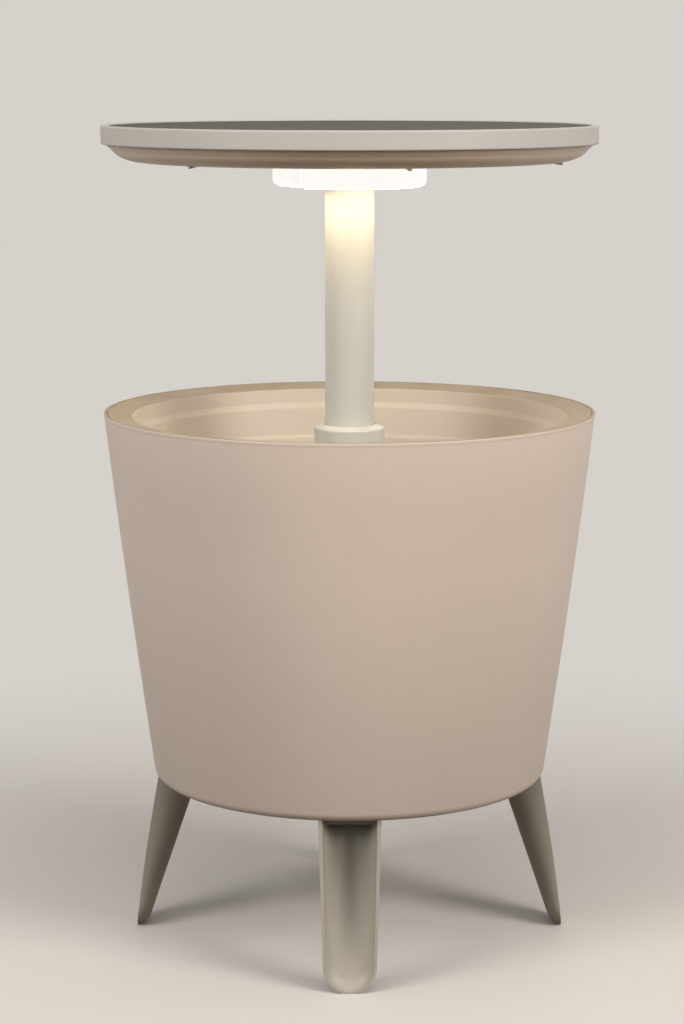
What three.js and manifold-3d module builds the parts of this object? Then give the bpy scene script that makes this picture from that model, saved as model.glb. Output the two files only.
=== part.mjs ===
// Ice bucket coffee table: a double-walled bucket on four trough legs, with a tabletop lid
// that rises on a central column, turns to lock and carries a ring lamp underneath.
// Millimetres, Z up, origin on the floor under the column's axis, tabletop raised.

import * as THREE from 'three';
import { mergeVertices } from 'three/addons/utils/BufferGeometryUtils.js';
import Module from 'manifold-3d';

const wasm = await Module();
wasm.setup();

// Clearances shared by the whole table
const seatGap = 0.3;
const closedGap = 0.5;
const screwPlay = 0.3;
const cutOverrun = 5;

// Bucket shell
const rimRadius = 248.1;
const rimHeight = 540.2;
const baseRadius = 199.6;
const baseHeight = 164.3;
const wallBulge = 1.3;
const baseRounding = 10;
const shellWall = 3.2;
const shoulderWidth = 6;
const shoulderThickness = 3;
const rimSeatDepth = 1.6;

// Bucket liner
const linerWall = 3;
const flangeWidth = 29.1;
const flangeDrop = 4.8;
const lipRounding = 4;
const bandHeight = 14.4;
const bandTaper = 1.4;
const ledgeWidth = 3.4;
const ledgeDrop = 2.4;
const upperWallHeight = 29;
const upperWallTaper = 2.9;
const waistWidth = 1.7;
const waistDrop = 2;
const linerBaseInset = 19.6;
const linerFloorRise = 35.7;
const linerFloorRounding = 20;

// Lift and lock
const lockTurn = THREE.MathUtils.degToRad(30);
const lugHalfAngle = THREE.MathUtils.degToRad(11);
const channelPlayAngle = THREE.MathUtils.degToRad(1.5);
const lugHeight = 16;
const lugReach = 3.4;
const channelWall = 2.3;
const bushHeight = 14;
const footRise = 12;
const pocketPlay = 0.5;

// Column and its guide
const columnRadius = 24.7;
const columnWall = 2.2;
const collarSleeveWall = 3;
const collarSleeveLength = 41.3;
const collarRadius = 35.5;
const collarHeight = 17.8;
const collarSlope = 3.4;
const collarRounding = 1.5;
const guideFlangeRadius = 46;
const guideFlangeThickness = 4;
const guideTopDrop = 32.2;
const guideSealThickness = 1.7;
const guideSpigotHeight = 12;
const guideSpigotWall = 3.5;
const guideDrainRadius = 6;
const footWall = 5;
const footSpigotLength = 30;
const pinRadius = 2;

// Tabletop
const tableInset = 0.6;
const bandDepth = 18.6;
const bandWall = 5.7;
const edgeRounding = 1.8;
const lipWidth = 7.2;
const surfaceRecess = 0.9;
const surfaceThickness = 1.6;
const topPlate = 3;
const dishDepth = 17.6;
const dishCurveWidth = 33;
const dishShoulder = 3;
const dishWall = 3;
const dishCollarHeight = 6;
const socketWall = 3.5;
const socketHeight = 28;
const topScrewInset = 55.5;
const screwPadRadius = 8;
const screwPadHeight = 6;
const bossRadius = 5;
const nubPlay = 3.5;
const nubLength = 6;
const nubWidth = 3;
const nubDepth = 2.8;

// Hub flange under the tabletop
const hubRadius = 37.8;
const hubThickness = 6;
const hubScrewCircle = 31.4;

// Ring lamp
const lampRadius = 76.9;
const lampInnerRadius = 38.5;
const lampHeight = 24.5;
const lampWall = 1.8;
const lampRounding = 6;
const lampInnerRounding = 1.5;
const lampBaseThickness = 4;
const coverHalfAngle = THREE.MathUtils.degToRad(52);
const coverRise = 1.3;
const coverPlayAngle = THREE.MathUtils.degToRad(0.4);
const partitionAngle = THREE.MathUtils.degToRad(2);
const boardThickness = 1.6;
const boardMargin = 3.5;
const boardMarginAngle = THREE.MathUtils.degToRad(5);
const ledCount = 10;
const ledSize = 5;
const ledHeight = 1.6;
const ledCircle = 58;
const prySlotAngle = THREE.MathUtils.degToRad(-35.4);
const prySlotWidth = 4;
const prySlotDepth = 3;
const lampScrewCircle = 66;

// Lamp switch
const buttonRadius = 5.8;
const buttonFlange = 1.7;
const buttonFlangeThickness = 1.5;
const buttonInset = 0.3;
const buttonLength = 7.1;
const buttonTravel = 1.5;
const switchBodySize = 12;

// Lamp batteries
const cellRadius = 7.2;
const cellLength = 49.5;
const cellNubRadius = 2.7;
const cellNubHeight = 1;
const cellPitch = 14.6;
const contactThickness = 0.6;
const contactHeight = 11.6;
const contactDome = 1.2;
const cradleWall = 2;
const cradleReach = 64;

// Drain
const drainCircle = 110;
const drainAngle = THREE.MathUtils.degToRad(45);
const spoutRadius = 14;
const spoutWall = 3.6;
const spoutDrop = 8;
const spoutFlangeRadius = 20;
const spoutFlangeThickness = 2.5;
const drainSealThickness = 1.5;
const drainNutRadius = 21;
const drainNutHeight = 5.5;
const nutSides = 6;
const plugPlay = 0.6;
const plugDepth = 19;
const plugHeadRadius = 16;
const plugHeadHeight = 5;
const plugGripHeight = 9;
const plugGripThickness = 4;
const plugGripLength = 22;
const ringThickness = 1.2;
const ringHeight = 2.4;
const ringDepth = 12;

// Legs
const footSpread = 21.2;
const legTopInset = 3.6;
const legBow = 1.5;
const legTopDepth = 41.5;
const legFootDepth = 10.4;
const legTopHalfWidth = 30.7;
const legFootHalfWidth = 25.4;
const legEndRounding = 25.5;
const legBackRounding = 12;
const legWall = 4;
const legTopPlate = 6;
const legPlateInset = 14;
const legOvershoot = 8;
const footFlat = 1;
const spigotLength = 18;
const spigotWidth = 20;
const spigotHeight = 12;
const socketBossWall = 4;
const socketBossRoof = 11;

// Screws
const screwRadius = 2;
const screwHeadRadius = 4;
const screwHeadHeight = 2.6;
const smallScrewRadius = 1.5;
const smallScrewHeadRadius = 3;
const smallScrewHeadHeight = 2;
const legScrewLength = 28;
const guideScrewLength = 16;
const hubScrewLength = 11;
const topScrewLength = 18;
const lampScrewLength = 6.5;
const screwTipLength = 1.5;
const screwCrownShare = 0.8;

// Directions around the column
const legNames = ['front', 'right', 'back', 'left'];
const legAngles = [-Math.PI / 2, 0, Math.PI / 2, Math.PI];
const lugAngles = [0, Math.PI];
const guideScrewAngles = [Math.PI / 2, -Math.PI / 2];
const hubScrewAngles = [0, 1, 2, 3].map((i) => Math.PI / 4 + i * Math.PI / 2);
const topScrewAngles = hubScrewAngles;
const nubAngles = [0, 1, 2, 3, 4, 5].map((i) => Math.PI / 4 + i * Math.PI / 3);
const lampScrewAngles = [-50, 10, 70].map(THREE.MathUtils.degToRad);
const coverMiddle = Math.PI;

// Facet counts
const bigSides = 32;
const lampSides = 28;
const postSides = 24;
const smallSides = 12;
const screwSides = 6;
const wallSteps = 2;
const arcSteps = 3;
const dishSteps = 5;
const edgeSteps = 2;
const legArcSteps = 8;
const legFootSteps = 4;
const legShaftSteps = 2;

// Heights and radii that follow from the sizes above
const lipRadius = rimRadius - flangeWidth;
const lipHeight = rimHeight - flangeDrop;
const linerBaseRadius = baseRadius - linerBaseInset;
const linerFloorHeight = baseHeight + linerFloorRise;
const shellFloorTop = baseHeight + shellWall;
const guideBottom = shellFloorTop + seatGap;
const guideTop = rimHeight - guideTopDrop - seatGap;
const collarBottom = guideTop + seatGap;
const tubeBottom = guideTop - collarSleeveLength;
const bushBottom = tubeBottom - seatGap - bushHeight;
const footBottom = bushBottom - seatGap - lugHeight;
const footLowest = guideBottom + footRise;
const liftTravel = footBottom - footLowest;
const tableRadius = rimRadius - tableInset;
const dishRimRadius = tableRadius - bandWall - seatGap;
const dishFlatRadius = dishRimRadius - dishShoulder - dishCurveWidth;
const topScrewCircle = dishFlatRadius - topScrewInset;
const nubCircle = lipRadius - nubPlay - nubWidth / 2;
const restRadius = lipRadius + lipRounding / 2;
const restShare = (restRadius - dishFlatRadius) / dishCurveWidth;
const dishRise = dishDepth - dishDepth * Math.sqrt(1 - restShare ** 2);
const dishBottom = lipHeight + closedGap + liftTravel - dishRise;
const bandBottom = dishBottom + dishDepth;
const tableTop = bandBottom + bandDepth;
const surfaceTop = tableTop - surfaceRecess;
const surfaceSeat = surfaceTop - surfaceThickness - seatGap;
const topPlateBottom = surfaceSeat - topPlate;
const sleeveInnerRadius = columnRadius + seatGap;
const sleeveOuterRadius = sleeveInnerRadius + collarSleeveWall;
const guideBore = sleeveOuterRadius + seatGap;
const lugRadius = sleeveOuterRadius + lugReach;
const channelRadius = lugRadius + seatGap;
const guideRadius = channelRadius + channelWall;
const guideWallMiddle = (guideBore + guideRadius) / 2;
const tubeTop = dishBottom + socketHeight;
const boreRadius = columnRadius - columnWall;
const lampTop = dishBottom - seatGap;
const lampBottom = lampTop - lampHeight;
const lampBaseBottom = lampTop - lampBaseThickness;
const boardTop = lampBaseBottom - seatGap;
const boardBottom = boardTop - boardThickness;
const hubTop = dishBottom - seatGap;
const hubBottom = hubTop - hubThickness;
const legTop = baseHeight - seatGap;
const footTipRadius = baseRadius + footSpread;
const legTopLipRadius = baseRadius - legTopInset;
const legBackTopRadius = legTopLipRadius - legTopDepth;
const legBackFootRadius = footTipRadius - legFootDepth;
const legPlateEdge = legTopLipRadius - legPlateInset;
const spigotCircle = legPlateEdge - spigotLength / 2;
const guideSealBottom = linerFloorHeight + seatGap;
const guideFlangeBottom = guideSealBottom + guideSealThickness + seatGap;
const cellHeight = lampBottom + coverRise + lampWall + seatGap + cellRadius;
const cradleEnd = cellLength / 2 + cellNubHeight + contactThickness + contactDome + 2 * seatGap;

// Only positions, shared corners merged, no flat triangles, faces pointing out
function closed(geometry) {
  const bare = geometry.clone();
  bare.deleteAttribute('normal');
  bare.deleteAttribute('uv');
  const merged = mergeVertices(bare);
  const source = merged.index.array;
  const kept = [];
  for (let i = 0; i < source.length; i += 3) {
    const [a, b, c] = [source[i], source[i + 1], source[i + 2]];
    if (a !== b && b !== c && c !== a) kept.push(a, b, c);
  }
  merged.setIndex(kept);
  if (volumeOf(merged) < 0) {
    for (let i = 0; i < kept.length; i += 3) [kept[i], kept[i + 1]] = [kept[i + 1], kept[i]];
    merged.setIndex(kept);
  }
  return merged;
}

function volumeOf(geometry) {
  const place = geometry.attributes.position;
  const corners = [new THREE.Vector3(), new THREE.Vector3(), new THREE.Vector3()];
  let volume = 0;
  for (let i = 0; i < geometry.index.count; i += 3) {
    corners.forEach((corner, k) => corner.fromBufferAttribute(place, geometry.index.getX(i + k)));
    volume += corners[0].dot(corners[1].clone().cross(corners[2])) / 6;
  }
  return volume;
}

function solidOf(geometry) {
  const mesh = closed(geometry);
  return new wasm.Manifold(new wasm.Mesh({
    numProp: 3,
    vertProperties: new Float32Array(mesh.attributes.position.array),
    triVerts: new Uint32Array(mesh.index.array),
  }));
}

function geometryOf(solid) {
  const mesh = solid.getMesh();
  const geometry = new THREE.BufferGeometry();
  geometry.setAttribute('position', new THREE.BufferAttribute(new Float32Array(mesh.vertProperties), 3));
  geometry.setIndex(new THREE.BufferAttribute(new Uint32Array(mesh.triVerts), 1));
  return geometry;
}

function joined(first, ...others) {
  return others.reduce((whole, other) => whole.add(other), first);
}

function cut(first, ...tools) {
  return tools.reduce((rest, tool) => rest.subtract(tool), first);
}

// A closed outline of [radius, height] pairs turned about Z
function revolved(outline, sides = bigSides) {
  const points = outline.map(([radius, height]) => new THREE.Vector2(radius, height));
  points.push(points[0].clone());
  return new THREE.LatheGeometry(points, sides).rotateX(Math.PI / 2);
}

// Copies of one shape on a circle about the column, each turned to face outwards
function ringOf(shape, radius, angles) {
  return angles.map((angle) => solidOf(shape.clone().translate(radius, 0, 0).rotateZ(angle)));
}

function tube(inner, outer, bottom, top, sides = smallSides) {
  return revolved([[inner, bottom], [outer, bottom], [outer, top], [inner, top]], sides);
}

function rod(radius, bottom, top, sides = smallSides) {
  const middle = (bottom + top) / 2;
  return new THREE.CylinderGeometry(radius, radius, top - bottom, sides)
    .rotateX(Math.PI / 2)
    .translate(0, 0, middle);
}

function block(length, width, height) {
  return new THREE.BoxGeometry(length, width, height);
}

// A slice of a ring between two angles, from one height to another
function sector(inner, outer, from, to, bottom, top) {
  const shape = new THREE.Shape();
  shape.absarc(0, 0, outer, from, to, false);
  shape.absarc(0, 0, inner, to, from, true);
  shape.closePath();
  const steps = Math.max(2, Math.ceil((to - from) / (2 * Math.PI / postSides)));
  return new THREE.ExtrudeGeometry(shape, { depth: top - bottom, bevelEnabled: false, curveSegments: steps })
    .translate(0, 0, bottom);
}

// Points on an arc about [radius, height], angles in degrees
function arc(centreRadius, centreHeight, size, fromDegrees, toDegrees, steps = arcSteps, squash = 1) {
  return Array.from({ length: steps + 1 }, (_, i) => {
    const angle = THREE.MathUtils.degToRad(fromDegrees + (toDegrees - fromDegrees) * i / steps);
    return [centreRadius + size * Math.cos(angle), centreHeight + size * squash * Math.sin(angle)];
  });
}

// The same line moved sideways to its right, with mitred corners
function offsetLine(line, distance) {
  const normals = line.slice(1).map(([radius, height], i) => {
    const along = new THREE.Vector2(radius - line[i][0], height - line[i][1]).normalize();
    return new THREE.Vector2(along.y, -along.x);
  });
  return line.map(([radius, height], i) => {
    const before = normals[Math.max(i - 1, 0)];
    const after = normals[Math.min(i, normals.length - 1)];
    const between = before.clone().add(after).normalize();
    const reach = distance / between.dot(after);
    return [radius + between.x * reach, height + between.y * reach];
  });
}

// Materials
function plastic(color, roughness) {
  return new THREE.MeshStandardMaterial({ color, roughness, metalness: 0 });
}

const bucketPlastic = plastic(0xd8c4ae, 0.55);
const linerPlastic = plastic(0xe2d0b6, 0.5);
const whitePlastic = plastic(0xd9d5c8, 0.45);
const legPlastic = plastic(0xd3d0c2, 0.5);
const topPlastic = plastic(0x96938b, 0.6);
const innerPlastic = plastic(0xc9c6bc, 0.6);
const mechanismPlastic = plastic(0x4a4c4e, 0.5);
const rubber = plastic(0x2a2a2a, 0.85);
const boardLaminate = plastic(0xe8ebe4, 0.6);
const batteryJacket = plastic(0x3c4a40, 0.4);
const steel = new THREE.MeshStandardMaterial({ color: 0xb9bbbd, roughness: 0.35, metalness: 1 });
const diffuserPlastic = new THREE.MeshStandardMaterial({
  color: 0xfff3dc,
  roughness: 0.5,
  metalness: 0,
  emissive: 0xffe2b0,
  emissiveIntensity: 0.8,
});

function piece(name, shape, material) {
  const geometry = shape.getMesh ? geometryOf(shape) : closed(shape);
  geometry.computeVertexNormals();
  const mesh = new THREE.Mesh(geometry, material);
  mesh.name = name;
  return mesh;
}

// Bucket shell: outside wall with a rounded base and rim, leg sockets and a guide seat
function shellRadius(height) {
  const share = (height - baseHeight) / (rimHeight - baseHeight);
  return baseRadius + (rimRadius - baseRadius) * share + wallBulge * Math.sin(Math.PI * share);
}

function shellOutside(grow) {
  const lean = THREE.MathUtils.radToDeg(Math.atan((rimRadius - baseRadius) / (rimHeight - baseHeight)));
  const bend = baseHeight + baseRounding;
  const turnHeight = bend - baseRounding * Math.sin(THREE.MathUtils.degToRad(lean));
  const centre = shellRadius(turnHeight) - baseRounding * Math.cos(THREE.MathUtils.degToRad(lean));
  const corner = arc(centre, bend, baseRounding - grow, -90, -lean);
  const top = rimHeight - shellWall / 2;
  const wall = Array.from({ length: wallSteps }, (_, i) => {
    const height = turnHeight + (top - turnHeight) * (i + 1) / wallSteps;
    return [shellRadius(height) - grow, height];
  });
  return [...corner, ...wall];
}

function legSocket() {
  const pocketTop = legTop + spigotHeight + seatGap;
  const pocketBottom = baseHeight - cutOverrun;
  const roof = pocketTop + socketBossRoof;
  const bossBottom = baseHeight + shellWall / 2;
  const boss = block(spigotLength + 2 * socketBossWall, spigotWidth + 2 * socketBossWall, roof - bossBottom)
    .translate(spigotCircle, 0, (roof + bossBottom) / 2);
  const pocket = block(spigotLength + 2 * seatGap, spigotWidth + 2 * seatGap, pocketTop - pocketBottom)
    .translate(spigotCircle, 0, (pocketTop + pocketBottom) / 2);
  const hole = rod(screwRadius + screwPlay, baseHeight, roof - screwPlay * 2, screwSides)
    .translate(spigotCircle, 0, 0);
  return { boss, hole: joined(solidOf(pocket), solidOf(hole)) };
}

function bucketShell() {
  const outside = shellOutside(0);
  const inside = shellOutside(shellWall).reverse();
  const rimMiddle = rimHeight - shellWall / 2;
  const rimRound = arc(shellRadius(rimHeight) - shellWall / 2, rimMiddle, shellWall / 2, 0, 180);
  const seatHeight = flangeSeat();
  const seatRadius = shellRadius(seatHeight) - shellWall;
  const shoulderFoot = seatHeight - shoulderThickness - shoulderWidth;
  const shoulder = [
    [seatRadius, seatHeight],
    [seatRadius - shoulderWidth, seatHeight],
    [seatRadius - shoulderWidth, seatHeight - shoulderThickness],
    [shellRadius(shoulderFoot) - shellWall, shoulderFoot],
  ];
  const wall = solidOf(revolved([
    [guideDrainRadius, baseHeight],
    ...outside.slice(0, -1),
    ...rimRound,
    ...shoulder,
    ...inside.slice(1),
    [guideDrainRadius, shellFloorTop],
  ]));
  const spigotInner = guideRadius + seatGap;
  const seat = solidOf(tube(spigotInner, spigotInner + guideSpigotWall, shellFloorTop - shellWall / 2,
    shellFloorTop + guideSpigotHeight, postSides));
  const socket = legSocket();
  const bosses = legAngles.map((angle) => solidOf(socket.boss.clone().rotateZ(angle)));
  const pockets = legAngles.map((angle) => socket.hole.rotate([0, 0, THREE.MathUtils.radToDeg(angle)]));
  const [below, above] = [baseHeight - cutOverrun, shellFloorTop + cutOverrun];
  const drain = solidOf(rod(spoutRadius + seatGap, below, above).translate(...drainPlace(), 0));
  const screwHole = rod(screwRadius + screwPlay, below, above, screwSides);
  const screwHoles = ringOf(screwHole, guideWallMiddle, guideScrewAngles);
  return cut(joined(wall, seat, ...bosses), ...pockets, drain, ...screwHoles);
}

// Bucket liner: floor, stepped wall, rounded mouth and the sloping flange that meets the rim
function linerInside() {
  const bandFoot = lipHeight - bandHeight;
  const upperFoot = bandFoot - ledgeDrop - upperWallHeight;
  const bandRadius = lipRadius - bandTaper;
  const ledgeRadius = bandRadius - ledgeWidth;
  const upperRadius = ledgeRadius - upperWallTaper;
  const waistRadius = upperRadius - waistWidth;
  const waistHeight = upperFoot - waistDrop;
  const lean = THREE.MathUtils.radToDeg(
    Math.atan((waistRadius - linerBaseRadius) / (waistHeight - linerFloorHeight)));
  const flange = flangeLine();
  return [
    [guideRadius + seatGap * 2, linerFloorHeight],
    ...arc(linerBaseRadius - linerFloorRounding, linerFloorHeight + linerFloorRounding,
      linerFloorRounding, -90, -lean),
    [waistRadius, waistHeight],
    [upperRadius, upperFoot],
    [ledgeRadius, bandFoot - ledgeDrop],
    [bandRadius, bandFoot],
    ...arc(lipRadius + lipRounding, lipHeight - lipRounding, lipRounding, 180, 90),
    flange.outer,
  ];
}

function flangeLine() {
  const outerHeight = rimHeight - rimSeatDepth;
  return {
    inner: [lipRadius + lipRounding, lipHeight],
    outer: [shellRadius(outerHeight) - shellWall - seatGap, outerHeight],
  };
}

function flangeSeat() {
  const { inner, outer } = flangeLine();
  const slope = (outer[1] - inner[1]) / (outer[0] - inner[0]);
  const reach = shoulderWidth + seatGap;
  return outer[1] - reach * slope - linerWall * Math.hypot(1, slope) - seatGap;
}

function bucketLiner() {
  const inside = linerInside();
  const outside = offsetLine(inside, linerWall);
  outside[0][0] = inside[0][0];
  outside[outside.length - 1][0] = inside[inside.length - 1][0];
  const wall = solidOf(revolved([...inside, ...outside.reverse()]));
  const drain = solidOf(rod(spoutRadius + seatGap, linerFloorHeight - linerWall - cutOverrun,
    linerFloorHeight + cutOverrun).translate(...drainPlace(), 0));
  return cut(wall, drain);
}

// Guide tube: two full-height channels for the keys, with a turning pocket at each end
function guideTube() {
  const flangeTop = guideFlangeBottom + guideFlangeThickness;
  const body = solidOf(revolved([
    [guideBore, guideBottom],
    [guideRadius, guideBottom],
    [guideRadius, guideFlangeBottom],
    [guideFlangeRadius, guideFlangeBottom],
    [guideFlangeRadius, flangeTop],
    [guideRadius, flangeTop],
    [guideRadius, guideTop],
    [guideBore, guideTop],
  ], postSides));
  const halfAngle = lugHalfAngle + channelPlayAngle;
  const innerCut = guideBore - seatGap * 2;
  const slots = lugAngles.flatMap((angle) => {
    const channel = sector(innerCut, channelRadius, angle - halfAngle, angle + halfAngle,
      guideBottom - cutOverrun, guideTop + cutOverrun);
    const topPocket = sector(innerCut, channelRadius, angle - halfAngle, angle + halfAngle + lockTurn,
      footBottom - pocketPlay, footBottom + lugHeight + pocketPlay);
    const lowPocket = sector(innerCut, channelRadius, angle - halfAngle, angle + halfAngle + lockTurn,
      guideBottom - cutOverrun, footLowest + lugHeight + pocketPlay);
    return [channel, topPocket, lowPocket].map(solidOf);
  });
  const baseHole = rod(screwRadius + screwPlay, guideBottom - cutOverrun,
    guideBottom + guideScrewLength, screwSides);
  const baseHoles = ringOf(baseHole, guideWallMiddle, guideScrewAngles);
  const collarHoles = guideScrewAngles.map((angle) => solidOf(
    rod(smallScrewRadius + screwPlay, guideBore - cutOverrun, guideRadius + cutOverrun, screwSides)
      .rotateY(Math.PI / 2)
      .rotateZ(angle)
      .translate(0, 0, collarScrewHeight())));
  return cut(body, ...slots, ...baseHoles, ...collarHoles);
}

function collarScrewHeight() {
  return guideTop - smallScrewHeadRadius * 2;
}

function guideSeal() {
  const inner = guideRadius + seatGap;
  const outer = guideFlangeRadius - seatGap;
  return tube(inner, outer, guideSealBottom, guideSealBottom + guideSealThickness, postSides);
}

// Collar: a sleeve inside the guide's mouth under a head with a sloping top
function guideCollar() {
  const head = collarBottom + collarHeight;
  const shoulder = head - collarSlope;
  const body = solidOf(revolved([
    [sleeveInnerRadius, tubeBottom],
    [sleeveOuterRadius, tubeBottom],
    [sleeveOuterRadius, collarBottom],
    [collarRadius, collarBottom],
    [collarRadius, shoulder - collarRounding],
    [collarRadius - collarRounding, shoulder],
    [sleeveInnerRadius + collarRounding, head],
    [sleeveInnerRadius, head - collarRounding / 2],
  ], postSides));
  const holes = guideScrewAngles.map((angle) => solidOf(
    rod(smallScrewRadius + screwPlay, sleeveInnerRadius + seatGap, sleeveOuterRadius + cutOverrun, screwSides)
      .rotateY(Math.PI / 2)
      .rotateZ(angle)
      .translate(0, 0, collarScrewHeight())));
  return cut(body, ...holes);
}

// Ring with two keys that run in the channels, round the neck of the column's foot
function keyedRing(inner, bottom, height) {
  const ring = solidOf(tube(inner, sleeveOuterRadius, bottom, bottom + height, postSides));
  const keys = lugAngles.map((angle) => solidOf(
    sector((inner + sleeveOuterRadius) / 2, lugRadius, angle - lugHalfAngle, angle + lugHalfAngle,
      bottom, bottom + height)));
  return joined(ring, ...keys);
}

function slideBush() {
  return keyedRing(boreRadius, bushBottom, bushHeight);
}

function columnFoot() {
  const neck = boreRadius - seatGap;
  const inner = neck - footWall;
  const collar = keyedRing(inner, footBottom, lugHeight);
  const top = tubeBottom + footSpigotLength;
  const spigot = solidOf(tube(inner, neck, footBottom + lugHeight / 2, top, postSides));
  return cut(joined(collar, spigot), pinHole(footPinHeight()));
}

function footPinHeight() {
  return tubeBottom + footSpigotLength / 2;
}

function headPinHeight() {
  return dishBottom + dishWall + (socketHeight - dishWall) / 2;
}

function pinHole(height) {
  const reach = columnRadius + cutOverrun * 2;
  return solidOf(rod(pinRadius + seatGap, -reach, reach, smallSides / 2)
    .rotateX(Math.PI / 2)
    .translate(0, 0, height));
}

function crossPin(height, reach) {
  return rod(pinRadius, -reach, reach, smallSides / 2)
    .rotateX(Math.PI / 2)
    .translate(0, 0, height);
}

function columnTube() {
  const body = solidOf(tube(boreRadius, columnRadius, tubeBottom, tubeTop, postSides));
  return cut(body, pinHole(footPinHeight()), pinHole(headPinHeight()));
}

// Tabletop: banded top shell, inlaid surface, dished underside with the column socket
function topShell() {
  const inlayRadius = tableRadius - lipWidth;
  const innerRadius = tableRadius - bandWall;
  const body = solidOf(revolved([
    [0, surfaceSeat],
    [inlayRadius + seatGap, surfaceSeat],
    [inlayRadius + seatGap, tableTop - edgeRounding / 2],
    [inlayRadius + seatGap + edgeRounding / 2, tableTop],
    ...arc(tableRadius - edgeRounding, tableTop - edgeRounding, edgeRounding, 90, 0, edgeSteps),
    ...arc(tableRadius - edgeRounding, bandBottom + edgeRounding, edgeRounding, 0, -90, edgeSteps),
    [innerRadius, bandBottom],
    [innerRadius, topPlateBottom],
    [0, topPlateBottom],
  ]));
  const bossFoot = dishBottom + screwPadHeight + seatGap;
  const boss = rod(bossRadius, bossFoot, topPlateBottom + topPlate / 2, screwSides);
  const hole = rod(screwRadius + screwPlay, bossFoot - cutOverrun, topPlateBottom, screwSides);
  return cut(
    joined(body, ...ringOf(boss, topScrewCircle, topScrewAngles)),
    ...ringOf(hole, topScrewCircle, topScrewAngles),
  );
}

function topSurface() {
  const radius = tableRadius - lipWidth;
  return rod(radius, surfaceSeat + seatGap, surfaceTop, bigSides);
}

function dishOutside() {
  const squash = dishDepth / dishCurveWidth;
  return [
    [columnRadius + seatGap, dishBottom],
    ...arc(dishFlatRadius, bandBottom, dishCurveWidth, -90, 0, dishSteps, squash),
    [dishRimRadius, bandBottom],
    [dishRimRadius, bandBottom + dishCollarHeight],
  ];
}

function dishUnderside() {
  const outside = dishOutside();
  const inside = offsetLine(outside, -dishWall);
  inside[0][0] = outside[0][0];
  const bowl = solidOf(revolved([...outside, ...inside.reverse()]));
  const innerRadius = columnRadius + seatGap;
  const root = dishBottom + dishWall / 2;
  const below = dishBottom - cutOverrun;
  const socket = solidOf(tube(innerRadius, innerRadius + socketWall, root, tubeTop, postSides));
  const pad = rod(screwPadRadius, root, dishBottom + screwPadHeight, screwSides);
  const hubPad = rod(bossRadius, root, dishBottom + hubScrewLength, screwSides);
  const lampPad = rod(bossRadius, root, dishBottom + lampScrewLength, screwSides);
  const nub = block(nubWidth, nubLength, nubDepth + dishWall / 2)
    .translate(0, 0, dishBottom + dishWall / 4 - nubDepth / 2);
  const whole = joined(
    bowl,
    socket,
    ...ringOf(pad, topScrewCircle, topScrewAngles),
    ...ringOf(hubPad, hubScrewCircle, hubScrewAngles),
    ...ringOf(lampPad, lampScrewCircle, lampScrewAngles),
    ...ringOf(nub, nubCircle, nubAngles),
  );
  const headHole = rod(screwHeadRadius + screwPlay, below,
    dishBottom + screwHeadHeight + screwPlay, screwSides);
  const topHole = rod(screwRadius + screwPlay, below, dishBottom + screwPadHeight + cutOverrun, screwSides);
  const smallHole = smallScrewRadius + screwPlay;
  const hubHole = rod(smallHole, below, dishBottom + hubScrewLength - dishWall / 2, screwSides);
  const lampHole = rod(smallHole, below, dishBottom + lampScrewLength - dishWall / 2, screwSides);
  return cut(
    whole,
    solidOf(rod(innerRadius, below, tubeTop + cutOverrun, postSides)),
    ...ringOf(headHole, topScrewCircle, topScrewAngles),
    ...ringOf(topHole, topScrewCircle, topScrewAngles),
    ...ringOf(hubHole, hubScrewCircle, hubScrewAngles),
    ...ringOf(lampHole, lampScrewCircle, lampScrewAngles),
    pinHole(headPinHeight()),
  );
}

// Hub flange: steadies the column under the dish
function hubFlange() {
  const body = solidOf(tube(columnRadius + seatGap, hubRadius, hubBottom, hubTop, postSides));
  const headHole = rod(smallScrewHeadRadius + screwPlay, hubBottom - cutOverrun,
    hubBottom + smallScrewHeadHeight + screwPlay * 2, screwSides);
  const shankHole = rod(smallScrewRadius + screwPlay, hubBottom, hubTop + cutOverrun, screwSides);
  return cut(
    body,
    ...ringOf(headHole, hubScrewCircle, hubScrewAngles),
    ...ringOf(shankHole, hubScrewCircle, hubScrewAngles),
  );
}

// Ring lamp: base plate, light board, glowing ring and the battery cover that closes it
function lampSection(bottom) {
  return revolved([
    ...arc(lampInnerRadius + lampInnerRounding, bottom + lampInnerRounding, lampInnerRounding, 180, 270, 2),
    ...arc(lampRadius - lampRounding, bottom + lampRounding, lampRounding, -90, 0),
    [lampRadius, lampTop],
    [lampInnerRadius, lampTop],
  ], lampSides);
}

function lampHollow(inner, bottom) {
  const outer = lampRadius - lampWall;
  const rounding = lampRounding - lampWall;
  return revolved([
    [inner, bottom],
    ...arc(outer - rounding, bottom + rounding, rounding, -90, 0, 2),
    [outer, lampTop + cutOverrun],
    [inner, lampTop + cutOverrun],
  ], lampSides);
}

function coverWedge(halfAngle, top) {
  return solidOf(sector(lampInnerRadius / 2, lampRadius + cutOverrun, coverMiddle - halfAngle,
    coverMiddle + halfAngle, lampBottom - cutOverrun, top));
}

function lampDiffuser() {
  const floorTop = lampBottom + lampWall;
  const ring = cut(solidOf(lampSection(lampBottom)), coverWedge(coverHalfAngle, lampTop + cutOverrun));
  const hollow = cut(
    solidOf(lampHollow(lampInnerRadius + lampWall, floorTop)),
    coverWedge(coverHalfAngle + partitionAngle, lampBaseBottom - seatGap),
  );
  const buttonHole = solidOf(
    rod(buttonRadius + seatGap * 2, lampBottom - cutOverrun, floorTop + cutOverrun)
      .translate(ledCircle, 0, 0));
  const prySlot = solidOf(block(lampWall + cutOverrun, prySlotWidth, prySlotDepth * 2)
    .translate(lampRadius, 0, lampTop)
    .rotateZ(prySlotAngle));
  return cut(ring, hollow, buttonHole, prySlot);
}

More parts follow.
